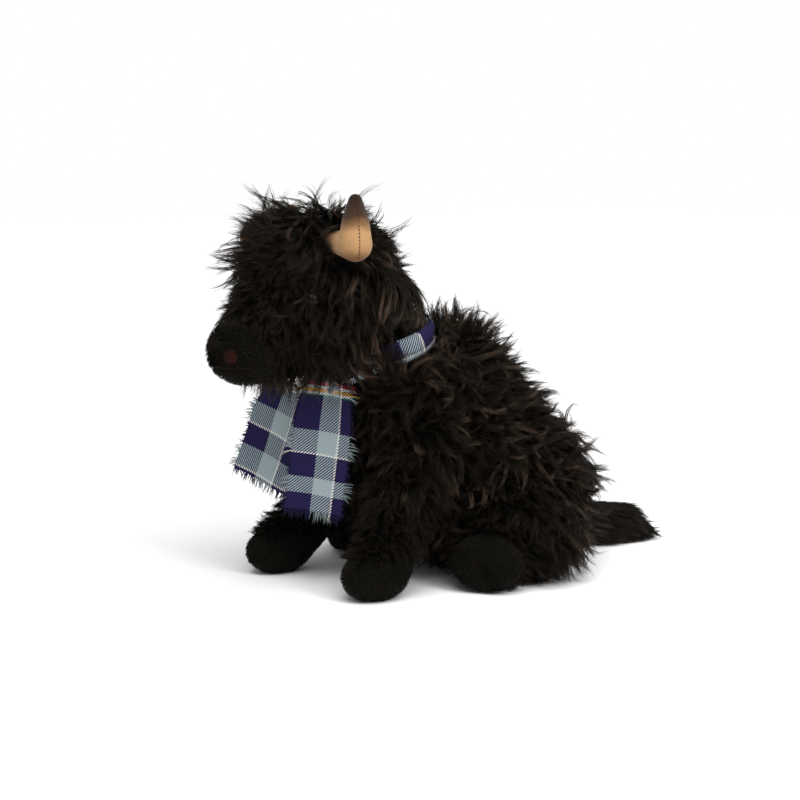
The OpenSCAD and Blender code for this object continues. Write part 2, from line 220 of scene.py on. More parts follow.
def hull_of(point_groups):
    """One mesh, in millimetres, with the convex hull of each group of points."""
    whole = bmesh.new()
    for points in point_groups:
        bm = bmesh.new()
        verts = [bm.verts.new(p) for p in points]
        made = bmesh.ops.convex_hull(bm, input=verts)
        loose = [v for v in made["geom_interior"] + made["geom_unused"]
                 if isinstance(v, bmesh.types.BMVert)]
        bmesh.ops.delete(bm, geom=list(set(loose)), context="VERTS")
        part = bpy.data.meshes.new("hull")
        bm.to_mesh(part)
        bm.free()
        whole.from_mesh(part)
    mesh = bpy.data.meshes.new("hulls")
    whole.to_mesh(mesh)
    whole.free()
    return mesh


# How strongly a remeshed form is smoothed, how many roots are tried for each one wanted, and a
# number of root cells that no form spans
SMOOTHING = 0.5
ROOT_TRIES = 3
CELLS = 4096


class Skin:
    """An evenly meshed closed surface in millimetres, with its normals and a search tree."""

    def __init__(self, groups, cuts=(), voxel=3.0, relax=8, floor=FLOOR):
        cutters = [new_object("cutter", hull_of([c])) for c in cuts]
        steps = [("BOOLEAN", {"object": c, "operation": "DIFFERENCE", "solver": "EXACT"})
                 for c in cutters]
        steps.append(("REMESH", {"mode": "VOXEL", "voxel_size": voxel}))
        steps.append(("SMOOTH", {"factor": SMOOTHING, "iterations": relax}))
        mesh = settled(new_object("form", hull_of(groups)), *steps)
        for c in cutters:
            bpy.data.objects.remove(c)
        n = len(mesh.vertices)
        self.points = np.zeros(n * 3)
        mesh.vertices.foreach_get("co", self.points)
        self.points = self.points.reshape(-1, 3)
        self.points[:, 2] = np.maximum(self.points[:, 2], floor)
        mesh.vertices.foreach_set("co", self.points.ravel())
        mesh.update()
        normals = np.zeros(n * 3)
        mesh.vertices.foreach_get("normal", normals)
        self.normals = normals.reshape(-1, 3)
        self.quads = np.array([p.vertices[:] for p in mesh.polygons if len(p.vertices) == 4])
        self.tree = BVHTree.FromPolygons(self.points.tolist(), self.quads.tolist())
        bpy.data.meshes.remove(mesh)

    def heights(self, points):
        """Signed distance above the surface, and the surface normal there."""
        heights = np.zeros(len(points))
        normals = np.zeros((len(points), 3))
        for i, p in enumerate(points.tolist()):
            near, normal, _, _ = self.tree.find_nearest(p)
            normals[i] = normal
            heights[i] = (Vector(p) - near) @ normal
        return heights, normals

    def roots(self, spacing, seed, keep=None):
        """Points spread over the surface about this far apart, and their normals."""
        r = rng_for(seed)
        q = self.points[self.quads]
        area = 0.5 * np.linalg.norm(np.cross(q[:, 2] - q[:, 0], q[:, 3] - q[:, 1]), axis=1)
        count = int(area.sum() / spacing ** 2 * ROOT_TRIES)
        pick = r.choice(len(area), count, p=area / area.sum())
        u, v = r.uniform(size=(2, count, 1))
        corner = self.quads[pick]

        def mixed(values):
            a, b, c, d = (values[corner[:, i]] for i in range(4))
            return (a * (1 - u) + b * u) * (1 - v) + (d * (1 - u) + c * u) * v

        p, n = mixed(self.points), unit(mixed(self.normals))
        cell = np.floor(p / spacing).astype(np.int64)
        key = (cell[:, 0] * CELLS + cell[:, 1]) * CELLS + cell[:, 2]
        first = np.sort(np.unique(key, return_index=True)[1])
        p, n = p[first], n[first]
        if keep is not None:
            wanted = keep(p)
            p, n = p[wanted], n[wanted]
        return p, n

    def part(self, name, choose=None):
        """A mesh of the faces whose middles are chosen, or of all of them."""
        quads = self.quads
        if choose is not None:
            quads = quads[choose(self.points[quads].mean(axis=1))]
        used, index = np.unique(quads, return_inverse=True)
        return mesh_of(name, self.points[used], index.reshape(-1, 4))


# ---- Fur: guide lines, locks of fibres round them, and tubes along the fibres ----


def outside(form, margin=0.0, sides=(1, -1)):
    """A test for points that lie outside an ellipsoid grown by a margin."""
    centre, radii = np.array(form[0], float), np.array(form[1], float) + margin

    def test(p):
        clear = np.ones(len(p), bool)
        for side in sides:
            clear &= (((p - centre * [side, 1, 1]) / radii) ** 2).sum(axis=1) > 1
        return clear

    return test


def every(*tests):
    return lambda p: np.logical_and.reduce([t(p) for t in tests])


# Guide lines: how much one differs from the next, and how it bends and keeps off the skin
GUIDE_STEPS = 8
LENGTH_SPREAD = (0.7, 1.15)
LIFT_SPREAD = (0.6, 1.5)
STAND_SPREAD = (0.6, 1.35)
PATCH_WAVE = 1.6
PATCH_YAW = 1.2
OWN_SHIFT = 0.5
BEND_UNIT = 6.0
STAND_EARLY = 1.4
PUSH_OUT = 0.7
ROOT_FLOOR = 1.0
TIP_FLOOR = 2.0
KEEP_COURSE = 0.4


def grow(skin, roots, normals, flow, length, seed, lift=0.5, droop=0.25, sway=0.35, yaw=0.35,
         stand=7.0, wave=38.0):
    """Guide lines that leave the skin along the flow, sag, and keep off the skin: (n, steps, 3)."""
    r = rng_for(seed)
    n = len(roots)
    length = length * r.uniform(*LENGTH_SPREAD, n)
    lift = lift * r.uniform(*LIFT_SPREAD, n)
    stand = stand * r.uniform(*STAND_SPREAD, n)
    tangent = unit(flow - (flow * normals).sum(1, keepdims=True) * normals)
    side = np.cross(normals, tangent)
    angle = r.normal(0, yaw, n)[:, None]
    angle = angle + waves(roots, wave * PATCH_WAVE, seed + 1)[:, :1] * yaw * PATCH_YAW
    tangent = tangent * np.cos(angle) + side * np.sin(angle)
    d = unit(tangent + normals * lift[:, None])
    p = roots.copy()
    lines = [p]
    step = (length / GUIDE_STEPS)[:, None]
    own = r.uniform(-1, 1, (n, 3)) * OWN_SHIFT
    for k in range(GUIDE_STEPS):
        share = (k + 1) / GUIDE_STEPS
        bend = (waves(p + own * wave, wave, seed + 2) * sway * share) * step / BEND_UNIT
        d = unit(d + DOWN * droop * step / BEND_UNIT + bend)
        q = p + d * step
        height, up = skin.heights(q)
        missing = np.maximum(stand * min(1.0, share * STAND_EARLY) - height, 0)
        q = q + up * (missing * PUSH_OUT)[:, None]
        q[:, 2] = np.maximum(q[:, 2], ROOT_FLOOR + TIP_FLOOR * share)
        d = unit(d * KEEP_COURSE + unit(q - p) * (1 - KEEP_COURSE))
        p = q
        lines.append(p)
    return np.stack(lines, axis=1)


def along(lines, share):
    """Points on each line at shares of its length; share is (lines, k)."""
    steps = lines.shape[1] - 1
    at = np.clip(share * steps, 0, steps - 1e-6)
    low = at.astype(int)
    part = (at - low)[..., None]
    rows = np.arange(len(lines))[:, None]
    return lines[rows, low] * (1 - part) + lines[rows, low + 1] * part


# Fibres: where they end on their guide, how they ripple, and how they taper
FIBRE_STEPS = 5
REACH_SPREAD = (0.55, 1.0)
RIPPLE_BENDS = (3, 8)
RIPPLE_SIZE = 0.5
LOCK_SHAPE = 1.1
FRIZZ_SHAPE = 1.5
FIBRE_FLOOR = 0.6
TAPER = 0.6
THINNING = 0.15
SKEW = [0.31, 0.77, 0.55]
LONG_WIDTH = (0.34, 0.62)


def locks(guides, normals, count, spread, seed, clump=0.92, frizz=0.8):
    """Fibres that start round each guide's root and gather to its tip: (n * count, steps, 3)."""
    r = rng_for(seed)
    n = len(guides)
    across = unit(np.cross(normals, guides[:, 1] - guides[:, 0] + 1e-6))
    other = np.cross(normals, across)
    angle = r.uniform(0, TAU, (n, count))
    radius = spread * np.sqrt(r.uniform(0, 1, (n, count)))
    offset = (across[:, None] * (np.cos(angle) * radius)[..., None]
              + other[:, None] * (np.sin(angle) * radius)[..., None])
    reach = r.uniform(*REACH_SPREAD, (n, count))
    t = np.linspace(0, 1, FIBRE_STEPS + 1)
    share = t[None, None] * reach[..., None]
    line = along(guides, share.reshape(n, -1)).reshape(n, count, FIBRE_STEPS + 1, 3)
    tight = (1 - clump * share ** LOCK_SHAPE)[..., None]
    drift = r.normal(0, 1, (n, count, 1, 3)) * frizz * t[None, None, :, None] ** FRIZZ_SHAPE
    ripple = np.sin(t * r.uniform(*RIPPLE_BENDS, (n, count, 1)) + r.uniform(0, TAU, (n, count, 1)))
    own = r.normal(0, 1, (n, count, 1, 3)) * frizz * RIPPLE_SIZE
    drift = drift + ripple[..., None] * own * t[:, None]
    fibres = line + offset[:, :, None] * tight + drift
    fibres[..., 2] = np.maximum(fibres[..., 2], FIBRE_FLOOR)
    return fibres.reshape(n * count, FIBRE_STEPS + 1, 3)


# The box, in part.scad's millimetres, that no strand leaves
LIMIT_LOW = np.array([-125.0, -187.0, 0.4])
LIMIT_HIGH = np.array([125.0, 240.0, 304.0])


def tubes(name, fibres, width, tint, sides=3):
    """One mesh of tapering tubes, with how far along each point lies and each fibre's own tint."""
    fibres = np.clip(fibres, LIMIT_LOW, LIMIT_HIGH)
    n, k, _ = fibres.shape
    width = np.broadcast_to(width, (n,))
    ahead = unit(np.gradient(fibres, axis=1))
    ref = unit(np.cross(ahead[:, 0], SKEW))[:, None]
    u = unit(ref - (ref * ahead).sum(-1, keepdims=True) * ahead)
    v = np.cross(ahead, u)
    t = np.linspace(0, 1, k)
    radius = width[:, None] / 2 * (1 - t ** 2) ** TAPER * (1 - THINNING + THINNING * (1 - t))
    angle = np.arange(sides) * TAU / sides
    ring = (u[:, :-1, None] * np.cos(angle)[:, None] + v[:, :-1, None] * np.sin(angle)[:, None])
    rings = fibres[:, :-1, None] + ring * radius[:, :-1, None, None]
    per = (k - 1) * sides + 1
    points = np.concatenate([rings.reshape(n, -1, 3), fibres[:, -1:]], axis=1).reshape(-1, 3)
    base = (np.arange(n) * per)[:, None]
    quad = [[i + s, i + (s + 1) % sides, i + sides + (s + 1) % sides, i + sides + s]
            for i in range(0, (k - 2) * sides, sides) for s in range(sides)]
    last = (k - 2) * sides
    tri = [[last + s, last + (s + 1) % sides, per - 1] for s in range(sides)]
    quads = (base[:, :, None] + np.array(quad)[None]).reshape(-1, 4)
    tris = (base[:, :, None] + np.array(tri)[None]).reshape(-1, 3)
    mesh = mesh_of(name, points, quads, tris)
    at = np.append(np.repeat(t[:-1], sides), 1.0)
    add_values(mesh, "along", np.tile(at, n))
    add_values(mesh, "lock_tint", np.repeat(tint, per))
    map_strands(mesh, n, per, at, sides)
    return new_object(name, mesh)


# The part of its cell that a strand's map fills, and where the strand's tip lies in it
CELL_START = 0.15
CELL_FILL = 0.7
TIP_AT = 0.4


def map_strands(mesh, n, per, at, sides):
    """Gives each strand its own small cell of the OFBake map."""
    columns = math.ceil(math.sqrt(n))
    cell = 1.0 / columns
    row = np.arange(n)
    around = np.append(np.tile(np.arange(sides) / sides, (per - 1) // sides), TIP_AT)
    u = (row % columns)[:, None] * cell + cell * (CELL_START + CELL_FILL * at[None])
    v = (row // columns)[:, None] * cell + cell * (CELL_START + CELL_FILL * around[None])
    add_map(mesh, "OFBake", np.stack([u.ravel(), v.ravel()], -1))


MAX_STRANDS = 7000


def coat(name, body, mat, fibres, width, tint):
    """Fur pieces that ride on a body, split so that none is too large to export."""
    count = max(1, math.ceil(len(fibres) / MAX_STRANDS))
    for i in range(count):
        part = slice(i, None, count)
        o = tubes(f"{name}_{i + 1:02d}" if count > 1 else name, fibres[part], width[part],
                  tint[part])
        finish_piece(o, mat, body)


# How light the tips are: the spread from lock to lock, and the lighter and darker patches. The
# lighter brown tips are partly the fur's own tone and partly painted highlight.
TINT_SPREAD = 0.30
PATCH_LENGTH = 55.0
PATCH_TINT = 0.22
FIBRE_TINT = 0.08


def given(value, points):
    """A style value that may be a plain value or a function of the root points."""
    return value(points) if callable(value) else value


def shaggy(name, body, skin, spacing, count, flow, length, seed, keep=None, spread=3.2,
           width=LONG_WIDTH, shade=None, clump=0.92, frizz=0.8, **style):
    """A coat of long locks on a skin. flow, length and shade may be functions of the roots."""
    p, n = skin.roots(spacing, seed, keep)
    guides = grow(skin, p, n, given(flow, p), given(length, p), seed + 10, **style)
    fibres = locks(guides, n, count, spread, seed + 20, clump, frizz)
    r = rng_for(seed + 30)
    patch = waves(p, PATCH_LENGTH, seed + 31)[:, 0] * PATCH_TINT
    tint = np.clip(r.gamma(1.0, TINT_SPREAD, len(p)) + patch, 0, 1)
    if shade is not None:
        tint = tint * given(shade, p)
    tint = np.clip(np.repeat(tint, count) + r.normal(0, FIBRE_TINT, len(p) * count), 0, 1)
    widths = r.uniform(*width, len(fibres))
    coat(name, body, FUR, fibres, widths, tint)


def cover_coat(name, body, guides, normals, count, spread, clump, bright, width, seed):
    """Locks along guides of their own, with no patches: for fur that climbs over something."""
    fibres = locks(guides, normals, count, spread, seed, clump)
    r = rng_for(seed + 1)
    tint = np.clip(np.repeat(r.gamma(1.3, bright, len(guides)), count), 0, 1)
    coat(name, body, FUR, fibres, r.uniform(*width, len(fibres)), tint)


# Short pile: how it wanders, leans and varies
PILE_WAVE = 16.0
PILE_WANDER = 0.9
PILE_LEAN = 0.5
PILE_ROOT = 0.4
PILE_FLOOR = 0.5
PILE_WIDTH = (0.45, 0.7)
PILE_LENGTHS = (0.7, 1.2)


def velour(name, body, skin, spacing, seed, keep, length=3.0, flow=DOWN, lift=1.6):
    """Short upright pile."""
    r = rng_for(seed)
    p, n = skin.roots(spacing, seed, keep)
    flow = np.broadcast_to(flow, p.shape) + waves(p, PILE_WAVE, seed + 1) * PILE_WANDER
    tangent = flow - (flow * n).sum(1, keepdims=True) * n
    d = unit(unit(tangent) + n * lift + r.normal(0, 0.3, p.shape))
    length = r.uniform(*PILE_LENGTHS, len(p))[:, None] * length
    mid = p + d * length * 0.5
    tip = p + unit(d + unit(tangent) * PILE_LEAN) * length
    fibres = np.stack([p - n * PILE_ROOT, mid, tip], axis=1)
    fibres[..., 2] = np.maximum(fibres[..., 2], PILE_FLOOR)
    tint = np.clip(r.normal(0.5, 0.25, len(p)), 0, 1)
    coat(name, body, VELOUR, fibres, r.uniform(*PILE_WIDTH, len(p)), tint)


# ---- Materials ----


# The Mix node's colour sockets, by number, because the names of all its types are the same
MIX_FACTOR, MIX_A, MIX_B, MIX_RESULT = 0, 6, 7, 2


def material(name, roughness, specular, **constants):
    """A material with the shader's plain values set, and helpers that add nodes to it."""
    m = bpy.data.materials.new(name)
    m.use_nodes = True
    shader = m.node_tree.nodes["Principled BSDF"]
    shader.inputs["Roughness"].default_value = roughness
    shader.inputs["Specular IOR Level"].default_value = specular
    for key, value in constants.items():
        shader.inputs[key.replace("_", " ").title()].default_value = value

    def plug(node, key, value):
        if isinstance(value, bpy.types.NodeSocket):
            m.node_tree.links.new(value, node.inputs[key])
        else:
            node.inputs[key].default_value = value

    def add(kind, inputs=(), **settings):
        node = m.node_tree.nodes.new("ShaderNode" + kind)
        for key, value in settings.items():
            setattr(node, key, value)
        for key, value in dict(inputs).items():
            plug(node, key, value)
        return node

    def maths(operation, *values):
        node = add("Math", operation=operation)
        for i, value in enumerate(values):
            plug(node, i, value)
        return node.outputs[0]

    def noise(scale, **more):
        where = add("TexCoord").outputs["Object"]
        return add("TexNoise", {"Vector": where, "Scale": scale, **more}).outputs["Fac"]

    def ramp(factor, stops, constant=False):
        node = add("ValToRGB", {"Fac": factor})
        node.color_ramp.interpolation = "CONSTANT" if constant else "LINEAR"
        elements = node.color_ramp.elements
        while len(elements) > 1:
            elements.remove(elements[-1])
        elements[0].position = stops[0][0]
        elements[0].color = (*stops[0][1], 1)
        for position, colour in stops[1:]:
            elements.new(position).color = (*colour, 1)
        return node.outputs["Color"]

    def darkened(base, factor, share, darkest):
        """A colour darkened, by a share, where the factor is low."""
        node = add("Mix", data_type="RGBA", blend_type="MULTIPLY")
        plug(node, MIX_FACTOR, share)
        plug(node, MIX_A, base)
        plug(node, MIX_B, ramp(factor, [(0.3, (darkest,) * 3), (0.7, (1, 1, 1))]))
        return node.outputs[MIX_RESULT]

    def chosen(factor, a, b):
        node = add("Mix", data_type="RGBA")
        for key, value in ((MIX_FACTOR, factor), (MIX_A, a), (MIX_B, b)):
            plug(node, key, value)
        return node.outputs[MIX_RESULT]

    def bump(height, strength, distance):
        node = add("Bump", {"Height": height, "Strength": strength, "Distance": distance})
        m.node_tree.links.new(node.outputs[0], shader.inputs["Normal"])

    def colour(socket):
        m.node_tree.links.new(socket, shader.inputs["Base Color"])

    return m, SimpleNamespace(add=add, maths=maths, noise=noise, ramp=ramp, darkened=darkened,
                              chosen=chosen, bump=bump, colour=colour)


BLACK = (0.0022, 0.0019, 0.0012)
BLACK_BROWN = (0.0065, 0.0050, 0.0034)
# The brown at the lock tips is partly the fur's own tone and partly painted highlight
TIP_BROWN_AND_HIGHLIGHT = (0.104, 0.067, 0.047)
WARM_GLINT = (1.0, 0.84, 0.66, 1.0)


def fur_material(name, root, body, tip, roughness, specular):
    """Strands: dark at the root, lighter towards the tip, and each lock a little different; the
    lighter tips are partly the fur's own tone and partly painted highlight.
    """
    m, t = material(name, roughness, specular, specular_tint=WARM_GLINT)
    far = t.add("Attribute", attribute_name="along").outputs["Fac"]
    own = t.add("Attribute", attribute_name="lock_tint").outputs["Fac"]
    share = t.maths("MULTIPLY", far, t.maths("MULTIPLY_ADD", own, 1.1, 0.12))
    t.colour(t.ramp(share, [(0.0, root), (0.35, body), (1.0, tip)]))
    return m


def cloth_base_material(name, dark, light, scale, depth):
    """The dense underfur that the long locks stand in: fine fibre noise in colour and height."""
    m, t = material(name, 0.9, 0.05)
    fine = t.noise(scale, Detail=6.0, Roughness=0.7)
    t.colour(t.ramp(fine, [(0.3, dark), (0.75, light)]))
    t.bump(fine, 0.8, depth)
    return m


FUR = fur_material("long_fur", BLACK, BLACK_BROWN, TIP_BROWN_AND_HIGHLIGHT, 0.48, 0.2)
VELOUR = fur_material("short_pile", BLACK, (0.0055, 0.0050, 0.0040), (0.0125, 0.0115, 0.0090),
                      0.6, 0.15)
UNDERFUR = cloth_base_material("underfur", (0.0014, 0.0012, 0.0008), (0.004, 0.0032, 0.0022),
                               700.0, 0.003)
VELOUR_BASE = cloth_base_material("velour_base", (0.003, 0.0028, 0.0022), (0.007, 0.0063, 0.005),
                                  1400.0, 0.001)


def suede_material():
    """Tan suede, sprayed brown at the tip and darkened at the root with painted shade, by how far up
    the horn a point is.
    """
    m, t = material("horn_suede", 0.9, 0.1, sheen_weight=0.1, sheen_roughness=0.5)
    nap = t.noise(900.0, Detail=5.0)
    soft = t.noise(60.0, Detail=3.0)
    up = t.add("Attribute", attribute_name="up_horn").outputs["Fac"]
    tip_spray_root_shade = t.maths("MULTIPLY_ADD", soft, 0.16, t.maths("SUBTRACT", up, 0.08))
    # Low values give painted shade at the root where the horn meets the head; high values give the
    # brown spray on the tip
    tan = t.ramp(tip_spray_root_shade, [(0.0, (0.05, 0.020, 0.010)), (0.12, (0.16, 0.070, 0.030)),
                         (0.24, (0.40, 0.23, 0.105)), (0.46, (0.45, 0.26, 0.12)),
                         (0.58, (0.22, 0.115, 0.052)), (0.70, (0.050, 0.026, 0.014)),
                         (1.0, (0.016, 0.009, 0.006))])
    t.colour(t.darkened(tan, nap, 0.25, 0.5))
    t.bump(nap, 0.35, 0.0006)
    return m


def thread_material(name, colour, shade):
    """Matt thread: a fine twist along the strand."""
    m, t = material(name, 0.8, 0.1)
    where = t.add("TexCoord").outputs["Object"]
    twist = t.add("TexWave", {"Vector": where, "Scale": 320.0, "Distortion": 2.0,
                              "Detail": 2.0}).outputs["Fac"]
    t.colour(t.ramp(twist, [(0.2, shade), (0.8, colour)]))
    t.bump(twist, 0.5, 0.0004)
    return m


def eye_material():
    m, t = material("eye_plastic", 0.32, 0.12)
    t.colour(t.ramp(t.noise(300.0), [(0.3, (0.002, 0.0015, 0.0015)), (0.8, (0.005, 0.003, 0.002))]))
    return m


def plastic_material():
    m, t = material("washer_plastic", 0.45, 0.4)
    grain = t.noise(500.0)
    t.colour(t.ramp(grain, [(0.3, (0.72, 0.72, 0.70)), (0.7, (0.80, 0.80, 0.78))]))
    t.bump(grain, 0.1, 0.0002)
    return m


SUEDE = suede_material()
SEAM_THREAD = thread_material("seam_thread", (0.060, 0.028, 0.016), (0.025, 0.012, 0.008))
EMBROIDERY = thread_material("embroidery", (0.026, 0.0040, 0.0028), (0.010, 0.0020, 0.0015))
MOUTH_THREAD = thread_material("mouth_thread", (0.012, 0.006, 0.005), (0.005, 0.003, 0.0025))
LABEL = thread_material("label_ribbon", (0.50, 0.020, 0.022), (0.30, 0.010, 0.012))
EYE_GLOSS = eye_material()
WASHER = plastic_material()

NAVY = (0.017, 0.014, 0.058)
PALE_BLUE = (0.33, 0.40, 0.42)
OFF_WHITE = (0.80, 0.76, 0.70)
RED = (0.50, 0.02, 0.04)
YELLOW = (0.80, 0.42, 0.04)
WHITE = (0.75, 0.78, 0.78)
GREEN = (0.02, 0.12, 0.07)

TWILL = 2.3
WARP = [(0.0, NAVY), (18.5, PALE_BLUE), (33.5, OFF_WHITE), (35.0, NAVY), (60.0, NAVY)]
WEFT_PLAIN = [(0.0, PALE_BLUE), (3.5, OFF_WHITE), (5.3, NAVY), (23.5, PALE_BLUE),
              (40.5, OFF_WHITE), (42.3, NAVY), (59.5, PALE_BLUE), (76.5, OFF_WHITE), (78.5, NAVY)]
WEFT_BRIGHT = [(0.0, NAVY), (1.5, RED), (5.0, WHITE), (7.0, YELLOW), (9.8, WHITE), (11.6, GREEN),
               (12.8, NAVY), (38.0, PALE_BLUE), (55.0, OFF_WHITE), (56.6, NAVY), (74.0, PALE_BLUE),
               (86.0, NAVY)]


# The length of cloth that one ramp of colours covers
SETT = 120.0


def tartan_material(name, warp, weft, slant):
    """Twill in thread coordinates: warp and weft colours alternate along the diagonal lines."""
    m, t = material(name, 0.9, 0.08)
    uv = t.add("UVMap", uv_map="threads").outputs[0]
    across, down, _ = t.add("SeparateXYZ", {"Vector": uv}).outputs

    def banded(where, stops):
        share = t.maths("DIVIDE", where, SETT)
        return t.ramp(share, [(mm / SETT, colour) for mm, colour in stops], constant=True)

    diagonal = t.maths("DIVIDE", t.maths("MULTIPLY_ADD", down, slant, across), TWILL)
    over = t.maths("GREATER_THAN", t.maths("FRACT", diagonal), 0.5)
    pattern = t.chosen(over, banded(across, warp), banded(down, weft))
    yarn = t.add("TexNoise", {"Vector": uv, "Scale": 1.4, "Detail": 4.0}).outputs["Fac"]
    t.colour(t.darkened(pattern, yarn, 0.5, 0.55))
    t.bump(t.maths("PINGPONG", diagonal, 0.5), 0.6, 0.0004)
    return m


TARTAN_LEFT = tartan_material("tartan_left", WARP, WEFT_BRIGHT, 1.0)
TARTAN_RIGHT = tartan_material("tartan_right", WARP, WEFT_PLAIN, -1.0)


def fringe_material():
    """Loose threads, each in its own colour."""
    m, t = material("tartan_threads", 0.85, 0.15)
    tint = t.add("Attribute", attribute_name="thread_colour").outputs["Color"]
    t.colour(t.darkened(tint, t.noise(1500.0), 0.4, 0.5))
    return m


FRINGE = fringe_material()


def dressed(name, mesh, mat, body, slot, *replaced):
    """A finished piece that stands for CAD nodes."""
    o = new_object(name, mesh)
    finish_piece(o, mat, body)
    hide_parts(*replaced)
    return o


# ---- Torso and neck ----


NECK_AXIS = np.array([0, -math.sin(NECK_LEAN), math.cos(NECK_LEAN)])
RING_POINTS = 40

# The collar's circle in the torso's cloth: radius, height on the neck, and where it starts and ends
COLLAR = (42, -21, 42, 318)

# The gap between the torso's cloth and a limb's solid
GAP = 0.5

# Fur is left off round the seam label, so that it shows
LABEL_SPACE = ((0, -50, 34), (11, 22, 22))

# What the locks of the tuft on the withers point away from
TUFT_CENTRE = np.array([0, 30, 60])


def loop_ring(radius, high, start=0, end=360):
    """Points on a circle round the neck, with turns counted from the front towards the left."""
    a = np.radians(np.linspace(start, end, RING_POINTS))
    ring = vectors(radius * np.sin(a), -radius * np.cos(a), high)
    return turned(ring, (1, 0, 0), NECK_LEAN) + np.array(NECK[0])


def torso_points():
    """The cloth of the body, with the shoulders rising to meet the scarf's loop."""
    forms = [ball_points(grown(f, -COAT_DEPTH)) for f in (RUMP, CHEST, WITHERS)]
    return np.vstack(forms + [loop_ring(*COLLAR)])


def torso_skin():
    """The torso's cloth, cut back with a small gap where a limb, the neck or the tail meets it."""
    cuts = [ball_points(grown(NECK, GAP))]
    for side in (1, -1):
        cuts.append(capsule(grown(SHOULDER, GAP), grown(WRIST, GAP), side))
        cuts.append(ball_points(grown(THIGH, GAP), side))
    cuts.append(ball_points(grown(TAIL_BALL, GAP)))
    return Skin([torso_points()], cuts)


def torso_flow(p):
    """The coat falls down and back along the flanks, and straight down over the chest."""
    back = rise(p[:, 1], -50, 60)
    out = np.sign(p[:, 0]) * 0.25 + p[:, 0] * 0.004
    return vectors(out, back * 0.75 - (1 - back) * 0.2, -0.75)


def torso_length(p):
    """Short where the belly tucks under and on the saddle, and full over the flank."""
    saddle = rise(p[:, 2], 110, 25) * rise(p[:, 1], 30, 30)
    return 13 + 35 * rise(p[:, 2], 4, 45) - 14 * saddle


def loop_surround():
    """The torso and the scarf's loop as one skin, for the locks that climb over the loop."""
    return Skin([torso_points(), np.vstack([loop_ring(46, -17), loop_ring(46, 1)])])


def turn_about_neck(p):
    """Degrees round the neck, from the front towards the animal's left."""
    return np.degrees(np.arctan2(p[:, 0], -(p[:, 1] - NECK[0][1])))


def ruff_length(p):
    """Longest over the shoulder, and short at the nape and by the cheek, where the loop shows."""
    return np.interp(turn_about_neck(p), [-180, -60, 20, 46, 56, 84, 96, 135, 180],
                     [20, 34, 20, 24, 64, 62, 31, 20, 20])


def up_neck(p):
    """How far up the neck's axis points lie."""
    return (p - NECK[0]) @ NECK_AXIS


def from_neck(p):
    """Straight out from the neck's axis to the points."""
    return p - NECK[0] - up_neck(p)[:, None] * NECK_AXIS


def make_ruff(skin):
    """Locks that root round the loop and climb over its lower half."""

    def by_loop(p):
        far = np.linalg.norm(from_neck(p), axis=1)
        high = up_neck(p)
        front = np.abs(turn_about_neck(p)) < 24
        return (far < 62) & (far > 40) & (high > -37) & (high < -15) & ~front

    over = loop_surround()
    p, n = skin.roots(3.3, 140, by_loop)
    flow = NECK_AXIS + unit(from_neck(p)) * 0.05 + waves(p, 30.0, 141) * 0.3
    guides = grow(over, p, n, flow, ruff_length(p), 142, lift=0.4, droop=-0.12, sway=0.5, yaw=0.3,
                  stand=5.5)
    cover_coat("torso_ruff", "torso", guides, n, count=13, spread=3.0, clump=0.94, bright=0.28,
               width=LONG_WIDTH, seed=143)


def make_torso():
    skin = torso_skin()
    dressed("torso_cloth", skin.part("torso_cloth"), UNDERFUR, "torso", "long_fur",
            "torso_left_panel", "torso_right_panel", "belly_panel", "torso_stuffing", "pellet_bag")
    keep = every(outside(NECK, 3), outside(SHOULDER, 1), outside(WRIST, 1), outside(THIGH, -2),
                 outside(TAIL_BASE, 2, (1,)), outside(LABEL_SPACE), lambda p: p[:, 2] > 4)
    shaggy("torso_coat", "torso", skin, spacing=6.5, count=18, flow=torso_flow, length=torso_length,
           seed=100, keep=keep, spread=3.9, lift=0.55, droop=0.22, sway=1.0, yaw=0.6, stand=9.0,
           wave=32.0, clump=0.95)
    high = every(keep, lambda p: p[:, 2] > 22)
    shaggy("torso_spikes", "torso", skin, spacing=10.5, count=14, flow=torso_flow,
           length=lambda p: torso_length(p) * 0.85, seed=120, keep=high, spread=3.4, lift=1.5,
           droop=0.22, sway=1.1, yaw=0.8, stand=17.0, wave=26.0, clump=0.96)
    make_ruff(skin)

    def withers(p):
        return (np.abs(p[:, 0]) < 26) & (np.abs(p[:, 1] - 32) < 26) & (p[:, 2] > 160)

    shaggy("withers_tuft", "torso", skin, spacing=5.0, count=11, flow=lambda p: p - TUFT_CENTRE,
           length=27.0, seed=160, keep=withers, spread=2.6, lift=2.2, droop=0.0, sway=0.8, yaw=1.2,
           stand=22.0, wave=24.0, clump=0.96)
    neck = Skin([ball_points(grown(NECK, -1))])
    dressed("neck_cloth", neck.part("neck_cloth"), UNDERFUR, "neck", "long_fur", "neck_plug")
    shaggy("neck_coat", "neck", neck, spacing=4.0, count=12, flow=-NECK_AXIS, length=12.0, seed=180,
           keep=lambda p: up_neck(p) > 0, spread=2.4, lift=1.2, stand=4.0)


# ---- Head ----


CROWN_BALL = ((0, -83, 222), (51, 50, 52))

# What the head's coat falls away from, and what the wisps on the crown point away from
CROWN = np.array([0.0, -72.0, 300.0])
WISP_CENTRE = np.array([0.0, -72.0, 255.0])

# Where fur is left off: round the eyes, at the root of the left horn, and on the nostrils and mouth
EYE_SPACE = (EYE, (3.4, 3.4, 3.4))
HORN_SPACE = (HORN_ROOT + [10, 0, 0], (16, 9, 9))
NOSTRIL_SPACE = ((14.0, -173.0, 178.0), (3.0, 7.0, 3.4))
MOUTH_HEIGHT = 169.7


def head_points():
    """The cloth that the head's coat is rooted in, with the pile at the back taken as deeper."""
    return capsule(CROWN_BALL, grown(SNOUT, -COAT_DEPTH))


def head_skin():
    return Skin([head_points()], [ball_points(grown(NECK, GAP))])


